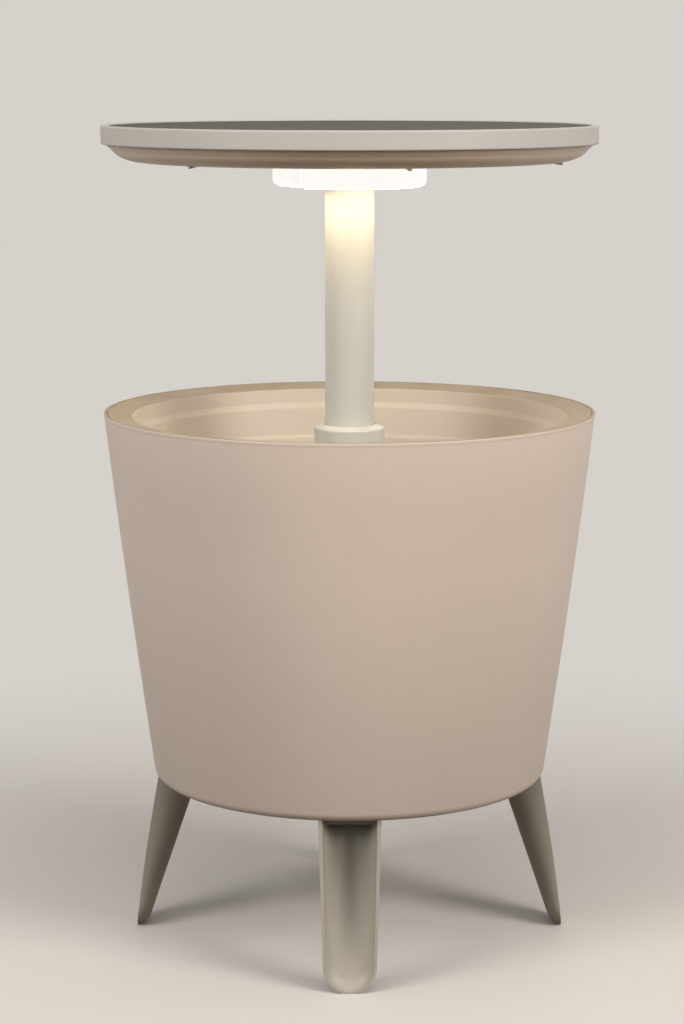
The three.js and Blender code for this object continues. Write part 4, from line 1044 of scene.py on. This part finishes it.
def drain_nut():
    bottom, top = heights("drain_nut")
    above = top + CUT_OVERRUN
    hexagon = post("drain_nut_work", NUT_RADIUS, bottom, top, 6)
    chamfer = turned("nut_chamfer", [
        (0, bottom), (NUT_FACE_RADIUS, bottom), (NUT_CHAMFER_RADIUS, bottom + (top - bottom) / 3),
        (NUT_CHAMFER_RADIUS, above), (0, above)], SMALL_SIDES)
    bore = post("nut_bore", SPOUT_RADIUS + SEAT_GAP, bottom - CUT_OVERRUN, above)
    shape = moved(combined(combined(hexagon, chamfer, operation="INTERSECT"), bore), DRAIN_PLACE)
    return dressed(shape, "drain_ring_nut", white_resin, "white_plastic", "base", "drain_nut")


def drain_stopper():
    head_bottom = PLUG_BOTTOM + PLUG_GRIP_HEIGHT
    head_top = head_bottom + PLUG_HEAD_HEIGHT
    groove_bottom, groove_top = low("plug_ring").z - SEAT_GAP, high("plug_ring").z + SEAT_GAP
    groove = PLUG_STEM - RING_THICKNESS
    rounding = PLUG_HEAD_HEIGHT / 4
    body = turned("drain_stopper_work", rounded([
        (0, head_bottom), (PLUG_HEAD_RADIUS, head_bottom, rounding),
        (PLUG_HEAD_RADIUS, head_top, rounding / 2), (PLUG_STEM, head_top, rounding / 2),
        (PLUG_STEM, groove_bottom), (groove, groove_bottom),
        (groove, groove_top), (PLUG_STEM, groove_top), (PLUG_STEM, PLUG_TIP - RING_THICKNESS, rounding / 2),
        (groove, PLUG_TIP, rounding / 3), (0, PLUG_TIP)]), SMALL_SIDES)
    grip = block("grip", PLUG_GRIP_LENGTH, PLUG_GRIP_THICKNESS, PLUG_GRIP_HEIGHT + PLUG_HEAD_HEIGHT / 2,
                 (0, 0, (PLUG_BOTTOM + head_bottom + PLUG_HEAD_HEIGHT / 2) / 2))
    shape = moved(combined(body, bevelled(grip, PLUG_GRIP_ROUNDING, 4), operation="UNION"), DRAIN_PLACE)
    return dressed(shape, "drain_stopper", white_resin, "white_plastic", "plug", "drain_plug")


def stopper_ring():
    inner = PLUG_STEM - RING_THICKNESS + SEAT_GAP
    outer = PLUG_STEM + PLUG_PLAY / 2
    return rubber_ring("stopper_ring", "plug_ring", inner, outer, (outer - inner) / RING_FIT, "plug",
                       **IN_DRAIN)


# Legs: tapering troughs with a spoon-shaped foot, open outwards

def leg_section(height, inset):
    """The trough's lip, half its width and its depth at a height, drawn in by inset."""
    share = height / LEG_TOP
    bow = LEG_BOW * math.sin(math.pi * min(max(share, 0), 1))
    lip = LEG_TIP_RADIUS + (LEG_TOP_LIP_RADIUS - LEG_TIP_RADIUS) * share + bow
    back = LEG_BACK_FOOT_RADIUS + (LEG_BACK_TOP_RADIUS - LEG_BACK_FOOT_RADIUS) * share
    straight = LEG_FOOT_HALF_WIDTH + (LEG_TOP_HALF_WIDTH - LEG_FOOT_HALF_WIDTH) * share - inset
    above_tip = max(height + FOOT_FLAT - inset, 0)
    tip_share = min(above_tip / (LEG_END_ROUNDING - inset), 1)
    back_share = min(above_tip / LEG_BACK_ROUNDING, 1)
    width = straight * math.sqrt(1 - (1 - tip_share) ** 2)
    depth = (lip - back - inset) * math.sqrt(1 - (1 - back_share) ** 2)
    return lip, width, depth


def trough_arc(height, lip, width, depth, first=0.0):
    """Points round the trough's back, from near one lip to near the other."""
    return [(lip - depth * math.sin(a), width * math.cos(a), height)
            for a in spread(first, math.pi - first, LEG_ARC_STEPS)]


def leg_ring(height):
    """One level of the trough: its outside from lip to lip, then its inside back again."""
    lip, width, depth = leg_section(height, 0)
    wall = LEG_FOOT_WALL + (LEG_WALL - LEG_FOOT_WALL) * min(height / LEG_TOP, 1)
    inside = trough_arc(height, lip, *leg_section(height, wall)[1:])
    return trough_arc(height, lip, width, depth) + inside[::-1]


def plate_ring(height):
    """One level of the plate that closes the trough's top behind its lips."""
    lip, width, depth = leg_section(height, LEG_WALL / 2)
    return trough_arc(height, lip, width, depth, math.asin((lip - LEG_PLATE_EDGE) / depth))


def leg_shape():
    rounding = LEG_END_ROUNDING - FOOT_FLAT
    top = LEG_TOP + LEG_OVERSHOOT
    levels = [rounding * (1 - math.cos(math.pi / 2 * i / LEG_FOOT_STEPS)) for i in range(LEG_FOOT_STEPS)]
    levels += spread(rounding, top, LEG_SHAFT_STEPS)
    trough = skin("leg", [leg_ring(level) for level in levels])
    trough = bevelled(trough, LEG_LIP_ROUNDING, angle=LEG_LIP_ANGLE)
    plate = skin("leg_plate", [plate_ring(level) for level in (LEG_TOP - LEG_TOP_PLATE, top)])
    bucket = turned("bucket_space", [(0, LEG_TOP)] + base_line(-SEAT_GAP, LEG_SCREW_CIRCLE)[1:]
                    + [(wall_radius(RIM_HEIGHT) + SEAT_GAP, RIM_HEIGHT), (0, RIM_HEIGHT)])
    return combined(combined(trough, plate, operation="UNION"), bucket)


def trough_legs():
    return copies("trough_legs", leg_shape(), leg_resin, "leg_plastic", "base",
                  "leg_front", "leg_right", "leg_back", "leg_left")


# Column and hub plate

def column():
    inner = COLUMN_RADIUS - COLUMN_WALL
    rounding = COLUMN_WALL / 4
    return moulding("column", rounded([
        (inner, COLUMN_BOTTOM), (COLUMN_RADIUS, COLUMN_BOTTOM, rounding),
        (COLUMN_RADIUS, COLUMN_TOP, rounding), (inner, COLUMN_TOP),
    ]), column_resin, "white_plastic", "table", "column_tube")


def hub_plate():
    inner = COLUMN_RADIUS + SEAT_GAP
    return moulding("hub_plate", rounded([
        (inner, HUB_BOTTOM, HUB_ROUNDING / 2), (HUB_RADIUS, HUB_BOTTOM, HUB_ROUNDING),
        (HUB_RADIUS, HUB_TOP), (inner, HUB_TOP),
    ]), inner_resin, "inner_plastic", "table", "hub_flange", cuts=screw_wells(
        "hub_well", HUB_SCREW_CIRCLE, SMALL_HEAD_RADIUS + SCREW_PLAY, SMALL_HEAD_HEIGHT + 2 * SCREW_PLAY,
        HUB_BOTTOM, SCREW_SIDES))


# Tabletop

def lid_top():
    inner = TABLE_RADIUS - BAND_WALL
    bed = INLAY_RADIUS + SEAT_GAP
    seat = INLAY_BOTTOM - SEAT_GAP
    return moulding("lid_top", rounded([
        (0, seat), (bed, seat), (bed, TABLE_TOP, EDGE_ROUNDING / 2), (TABLE_RADIUS, TABLE_TOP, EDGE_ROUNDING),
        (TABLE_RADIUS, BAND_BOTTOM, EDGE_ROUNDING), (inner, BAND_BOTTOM, EDGE_ROUNDING / 4),
        (inner, seat - TOP_PLATE), (0, seat - TOP_PLATE),
    ]), lid_resin, "white_plastic", "table", "table_top", sides=BIG_SIDES)


def lid_inlay():
    return moulding("lid_inlay", rounded([
        (0, INLAY_BOTTOM), (INLAY_RADIUS, INLAY_BOTTOM), (INLAY_RADIUS, INLAY_TOP, INLAY_ROUNDING),
        (0, INLAY_TOP),
    ]), inlay_resin, "surface_plastic", "table", "table_surface", sides=BIG_SIDES)


def lid_underside():
    bore = COLUMN_RADIUS + SEAT_GAP
    squash = DISH_DEPTH / DISH_CURVE_WIDTH
    inner_squash = (DISH_DEPTH - DISH_WALL) / (DISH_CURVE_WIDTH - DISH_WALL)
    rim_bottom, rim_top = BAND_BOTTOM - SEAT_GAP, BAND_BOTTOM + DISH_COLLAR
    step = BAND_BOTTOM + DISH_WALL
    socket = bore + SOCKET_WALL
    outline = [(bore, DISH_BOTTOM)]
    outline += arc(DISH_FLAT_RADIUS, BAND_BOTTOM, DISH_CURVE_WIDTH, -90, -DISH_FLARE_ANGLE, DISH_STEPS,
                   squash)
    outline += [(DISH_RIM_RADIUS + DISH_FLARE, rim_bottom), (DISH_RIM_RADIUS, rim_bottom),
                (DISH_RIM_RADIUS, rim_top), (DISH_RIM_RADIUS - DISH_WALL, rim_top),
                (DISH_RIM_RADIUS - DISH_WALL, step), (DISH_RIM_RADIUS - DISH_SHOULDER - DISH_WALL, step)]
    outline += arc(DISH_FLAT_RADIUS, BAND_BOTTOM, DISH_CURVE_WIDTH - DISH_WALL, 0, -90, DISH_STEPS,
                   inner_squash)
    outline += [(socket, DISH_BOTTOM + DISH_WALL), (socket, COLUMN_TOP), (bore, COLUMN_TOP)]
    return moulding("lid_underside", outline, dish_resin, "white_plastic", "table", "table_underside",
                    sides=BIG_SIDES, cuts=screw_wells(
                        "screw_well", TOP_SCREW_CIRCLE, SCREW_HEAD_RADIUS + SCREW_PLAY,
                        SCREW_HEAD_HEIGHT - SCREW_PLAY, DISH_BOTTOM, WELL_SIDES))


def nub_ring(height, run, share):
    """One level of a nub that is upright outside and runs up inwards."""
    x, y = NUB_WIDTH / 2, NUB_LENGTH / 2 * share
    return [(-run, -y, height), (x, -y, height), (x, y, height), (-run, y, height)]


def centring_nubs():
    """Six fins under the dish that find the bucket's mouth as the lid comes down."""
    nub = skin("nub", [nub_ring(NUB_BOTTOM + NUB_TRIM, 0, NUB_TIP_SHARE)] + [
        nub_ring(level, NUB_RUN, NUB_FOOT_SHARE) for level in (DISH_BOTTOM, DISH_BOTTOM + DISH_WALL / 2)])
    return copies("centring_nubs", bevelled(nub, NUB_ROUNDING), dish_resin, "white_plastic", "table",
                  count=NUB_COUNT, radius=NUB_CIRCLE, first=EIGHTH)


# Ring lamp

def lamp_section(name, bottom):
    """The lamp's full ring above a height."""
    return turned(name, rounded([
        (LAMP_INNER_RADIUS, bottom, LAMP_INNER_ROUNDING), (LAMP_RADIUS, bottom, LAMP_ROUNDING),
        (LAMP_RADIUS, LAMP_TOP, LAMP_EDGE), (LAMP_INNER_RADIUS, LAMP_TOP, LAMP_EDGE)]), MIDDLE_SIDES)


def lamp_hollow(name, inner, bottom):
    """The room inside the lamp's walls."""
    outer, above = LAMP_RADIUS - LAMP_WALL, LAMP_TOP + CUT_OVERRUN
    return turned(name, rounded([
        (inner, bottom), (outer, bottom, LAMP_ROUNDING - LAMP_WALL), (outer, above), (inner, above)]),
        MIDDLE_SIDES)


def cover_wedge(name, half_angle, top):
    """The slice of the ring that the battery cover takes, below a height."""
    angles = spread(COVER_MIDDLE - half_angle, COVER_MIDDLE + half_angle, COVER_STEPS)
    section = [(LAMP_RADIUS + CUT_OVERRUN, a) for a in angles]
    section += [(LAMP_INNER_RADIUS / 2, a) for a in angles[::-1]]
    return skin(name, [[(reach * math.cos(a), reach * math.sin(a), level) for reach, a in section]
                       for level in (top, LAMP_BOTTOM - CUT_OVERRUN)])


def lamp_ring():
    ring = combined(lamp_section("lamp_ring_work", LAMP_BOTTOM),
                    cover_wedge("cover_space", COVER_HALF_ANGLE, LAMP_TOP + CUT_OVERRUN))
    hollow = combined(lamp_hollow("lamp_hollow", LAMP_INNER_RADIUS + LAMP_WALL, LAMP_BOTTOM + LAMP_WALL),
                      cover_wedge("partition_space", COVER_HALF_ANGLE + PARTITION_ANGLE,
                                  LAMP_TOP - LAMP_BASE_THICKNESS - SEAT_GAP))
    button_hole = moved(post("button_hole", BUTTON_RADIUS + 2 * SEAT_GAP, LAMP_BOTTOM - CUT_OVERRUN,
                             LAMP_BOTTOM + LAMP_WALL + CUT_OVERRUN), (BUTTON_CIRCLE, 0, 0))
    pry_slot = moved(block("pry_slot", LAMP_WALL + CUT_OVERRUN, PRY_SLOT_WIDTH, 2 * PRY_SLOT_DEPTH,
                           (LAMP_RADIUS, 0, LAMP_TOP)), turn=PRY_SLOT_ANGLE)
    return dressed(combined(ring, hollow, button_hole, pry_slot), "lamp_glow_ring", opal_resin,
                   "lit_diffuser", "table", "lamp_diffuser")


def lamp_cover():
    body = combined(lamp_section("lamp_cover_work", COVER_BOTTOM),
                    cover_wedge("cover_limits", COVER_HALF_ANGLE - COVER_PLAY_ANGLE, LAMP_TOP + CUT_OVERRUN),
                    operation="INTERSECT")
    shape = combined(body, lamp_hollow("cover_hollow", LAMP_INNER_RADIUS / 2, COVER_BOTTOM + LAMP_WALL))
    return dressed(shape, "lamp_end_cover", cover_resin, "lit_diffuser", "battery_door", "battery_cover")


def lamp_button():
    bottom, top = heights("switch_button")
    flange = LAMP_BOTTOM + LAMP_WALL + SEAT_GAP
    flange_top = flange + 2 * BUTTON_DISH
    flange_radius = high("switch_button").x - BUTTON_CIRCLE
    return moulding("lamp_button", rounded([
        (0, bottom + BUTTON_DISH),
        (BUTTON_RADIUS * BUTTON_DISH_REACH, bottom + BUTTON_DISH * BUTTON_DISH_RISE, 4 * BUTTON_DISH),
        (BUTTON_RADIUS - BUTTON_DISH, bottom, BUTTON_DISH / 3),
        (BUTTON_RADIUS, bottom + BUTTON_DISH, BUTTON_DISH / 2), (BUTTON_RADIUS, flange),
        (flange_radius, flange), (flange_radius, flange_top), (BUTTON_RADIUS, flange_top),
        (BUTTON_RADIUS, top, BUTTON_DISH / 2), (0, top),
    ]), white_resin, "white_plastic", "switch", "switch_button", sides=SMALL_SIDES,
        place=(BUTTON_CIRCLE, 0, 0))


# Batteries: a sleeved cell with bare ends

def cell(solid_name, way):
    """One cell, its tip towards +Y or -Y."""
    lowest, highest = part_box(solid_name)
    centre = (lowest + highest) / 2
    flat, tip = (lowest.y, highest.y) if way > 0 else (highest.y, lowest.y)
    length = abs(tip - flat) - CELL_NUB_HEIGHT
    rounding = CELL_NUB_HEIGHT / 2
    sleeve = [(0, 0), (CELL_RADIUS - rounding, 0), (CELL_RADIUS, rounding, rounding / 2),
              (CELL_RADIUS, length - rounding, rounding / 2), (CELL_RADIUS - rounding, length), (0, length)]
    nub = [(0, length), (CELL_NUB_RADIUS, length), (CELL_NUB_RADIUS, length + CELL_NUB_HEIGHT, rounding / 2),
           (0, length + CELL_NUB_HEIGHT)]
    jacket = cell_jacket(f"jacket_of_{solid_name}", tip - way * CELL_BAND_START * length,
                         tip - way * CELL_BAND_END * length)
    stand = Matrix.Translation((centre.x, flat, centre.z)) @ Matrix.Rotation(-way * math.pi / 2, 4, "X")
    pieces = []
    for part, corners, finish, slot in (("sleeve", sleeve, jacket, "battery_jacket"),
                                        ("contact", nub, zinc_plate, "screw_steel")):
        shape = turned(f"{solid_name}_{part}_work", rounded(corners), SMALL_SIDES)
        shape.data.transform(stand)
        pieces.append(dressed(shape, f"{solid_name}_{part}", finish, slot, "table"))
    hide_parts(solid_name)
    return pieces


# Screws: pan heads with a cross recess, heads down, set out in rings

def screw_shape(name, head_radius, head_height, shank_length):
    shank = head_radius * SCREW_SHANK_SHARE
    head = turned(name, rounded([
        (0, -head_height), (head_radius * SCREW_CROWN_SHARE, -head_height, head_height / 2),
        (head_radius, -head_height / 3, head_height / 4), (head_radius, 0), (shank, 0), (shank, shank_length),
        (0, shank_length)]), SCREW_SIDES)
    recess = [block(f"{name}_recess_{i}", *size, head_height, (0, 0, -head_height))
              for i, size in enumerate(((head_radius, head_radius / 4), (head_radius / 4, head_radius)))]
    return combined(head, *recess)


def screw_rings():
    """Each ring of screws, at the height where its heads sit."""
    big, small = (SCREW_HEAD_RADIUS, SCREW_HEAD_HEIGHT), (SMALL_HEAD_RADIUS, SMALL_HEAD_HEIGHT)
    guide_circle = (SLEEVE_RADIUS + SEAT_GAP + GUIDE_RADIUS) / 2
    rings = (
        ("leg", "leg_screw", ("right", "back", "left", "front"), big, black_steel, "base",
         LEG_SCREW_CIRCLE, 0.0, None),
        ("guide", "guide_screw", (1, 2), big, zinc_plate, "base", guide_circle, QUARTER, None),
        ("hub", "hub_screw", (1, 2, 3, 4), small, zinc_plate, "table", HUB_SCREW_CIRCLE, EIGHTH, None),
        ("lid", "top_screw", (1, 2, 3, 4), big, zinc_plate, "table", TOP_SCREW_CIRCLE, EIGHTH, None),
        ("lamp", "lamp_screw", (1, 2, 3), small, zinc_plate, "table", LAMP_SCREW_CIRCLE, math.radians(-50),
         math.radians(60)),
    )
    for ring, stem, ends, (radius, head), finish, body, circle, first, step in rings:
        nodes = [f"{stem}_{end}" for end in ends]
        bottom, top = heights(nodes[0])
        shape = screw_shape(f"{ring}_screws_shape", radius, head, top - bottom - head)
        copies(f"{ring}_screws", shape, finish, "screw_steel", body, *nodes, radius=circle,
               height=bottom + head, first=first, step=step, own=SCREW_TWIST)


def collar_screws():
    """Two screws from outside through the guide into the collar's sleeve."""
    lowest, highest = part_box("collar_screw_1")
    shape = screw_shape("collar_screw_shape", SMALL_HEAD_RADIUS, SMALL_HEAD_HEIGHT,
                        highest.y - lowest.y - SMALL_HEAD_HEIGHT)
    shape.data.transform(Matrix.Rotation(-math.pi / 2, 4, "Y"))
    copies("collar_screws", shape, zinc_plate, "screw_steel", "base", "collar_screw_1", "collar_screw_2",
           radius=highest.y - SMALL_HEAD_HEIGHT, height=(lowest.z + highest.z) / 2, first=QUARTER)


def finish_nodes():
    """Finishes for the solids that show as they are."""
    finishes = (
        (bearing_resin, "slide_bush", "column_foot"), (inner_resin, "lamp_base"),
        (board_laminate, "light_board"),
        (zinc_plate, "foot_pin", "head_pin", "battery_contact_1", "battery_contact_2"),
    )
    for finish, *solid_names in finishes:
        for solid_name in solid_names:
            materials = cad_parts[solid_name].data.materials
            materials.clear()
            materials.append(finish)


# Floor, backdrop, lamps and camera

def seen_directly(tree):
    """One for rays from the camera, or by way of gloss or glass, and zero for light that bounces."""
    paths = node(tree, "ShaderNodeLightPath")
    seen = maths(tree, "MAXIMUM", paths["Is Camera Ray"], paths["Is Glossy Ray"])
    return maths(tree, "MAXIMUM", seen, paths["Is Transmission Ray"])


def mixed_into(tree, end, share, first, second):
    """Ends a tree in a mix of two shaders."""
    mixed = node(tree, "ShaderNodeMixShader", {"Fac": share, 1: first, 2: second})["Shader"]
    wired(tree, tree.nodes[end], {"Surface": mixed})


def floor():
    """A pale floor that takes soft shadows near the table and fades into the backdrop further off."""
    material, tree, place = material_of("studio_floor")
    shown = clouded(tree, noise(tree, place, 0.8, 3), FLOOR_LIT, 0.975, 1)
    seen = seen_directly(tree)
    finished(material, {"Base Color": blended(tree, seen, FLOOR_BOUNCE, shown), "Roughness": 0.8,
                        "Specular IOR Level": 0.1})
    reach = vector_maths(tree, "LENGTH", "Value", point_of(tree))
    far = mapped(tree, reach, FADE_START, FADE_END, interpolation_type="SMOOTHSTEP")
    mixed_into(tree, "Material Output", maths(tree, "MULTIPLY", far, seen),
               tree.nodes["Principled BSDF"].outputs["BSDF"],
               node(tree, "ShaderNodeEmission", {"Color": FLOOR_COLOUR})["Emission"])
    half = FLOOR_SIZE / 2
    shape = shape_of("studio_floor", [(-half, -half, 0), (half, -half, 0), (half, half, 0), (-half, half, 0)],
                     faces=[(0, 1, 2, 3)])
    shape.data.materials.append(material)


def surroundings():
    world = bpy.data.worlds.new("studio")
    bpy.context.scene.world = world
    world.use_nodes = True
    tree = world.node_tree
    light = tree.nodes["Background"]
    wired(tree, light, {"Color": WORLD_COLOUR, "Strength": WORLD_POWER})
    mixed_into(tree, "World Output", seen_directly(tree), light.outputs["Background"],
               node(tree, "ShaderNodeBackground", {"Color": FLOOR_COLOUR})["Background"])


def soft_light(name, place, size, power, colour):
    data = bpy.data.lights.new(name, "AREA")
    data.shape = "DISK"
    data.size = size
    data.energy = power
    data.color = colour
    light = linked(name, data)
    light.location = place
    light.rotation_euler = (Vector(LIGHT_TARGET) - Vector(place)).to_track_quat("-Z", "Y").to_euler()


def studio_lights():
    soft_light("overhead", (0.0, -1.9, 3.1), 2.6, OVERHEAD_POWER, (1.0, 0.97, 0.94))
    soft_light("key", (2.3, -1.8, 1.8), 1.5, KEY_POWER, (1.0, 0.97, 0.93))
    soft_light("fill", (-2.2, -1.8, 1.8), 1.6, FILL_POWER, (1.0, 0.98, 0.97))
    soft_light("back", (0.3, 2.6, 2.0), 1.6, BACK_POWER, (1.0, 0.97, 0.93))


def camera():
    data = bpy.data.cameras.new("camera")
    data.sensor_fit = "VERTICAL"
    data.sensor_height = SENSOR_HEIGHT
    data.lens = CAMERA_LENS
    data.clip_end = CAMERA_REACH
    viewer = linked("camera", data)
    viewer.location = CAMERA_PLACE
    viewer.rotation_euler = (math.pi / 2 - CAMERA_PITCH, 0, 0)
    bpy.context.scene.camera = viewer


# Assembly
for build in (outer_bucket, inner_bucket, column_guide, guide_ribs, guide_gasket, collar, drain_outlet,
              drain_gasket, drain_nut, drain_stopper, stopper_ring, trough_legs, column, hub_plate, lid_top,
              lid_inlay, lid_underside, centring_nubs, lamp_ring, lamp_cover, lamp_button):
    build()
cell("battery_1", 1)
cell("battery_2", -1)
for build in (screw_rings, collar_screws, finish_nodes, floor, surroundings, studio_lights, camera):
    build()
bpy.context.scene.view_settings.view_transform = "Standard"
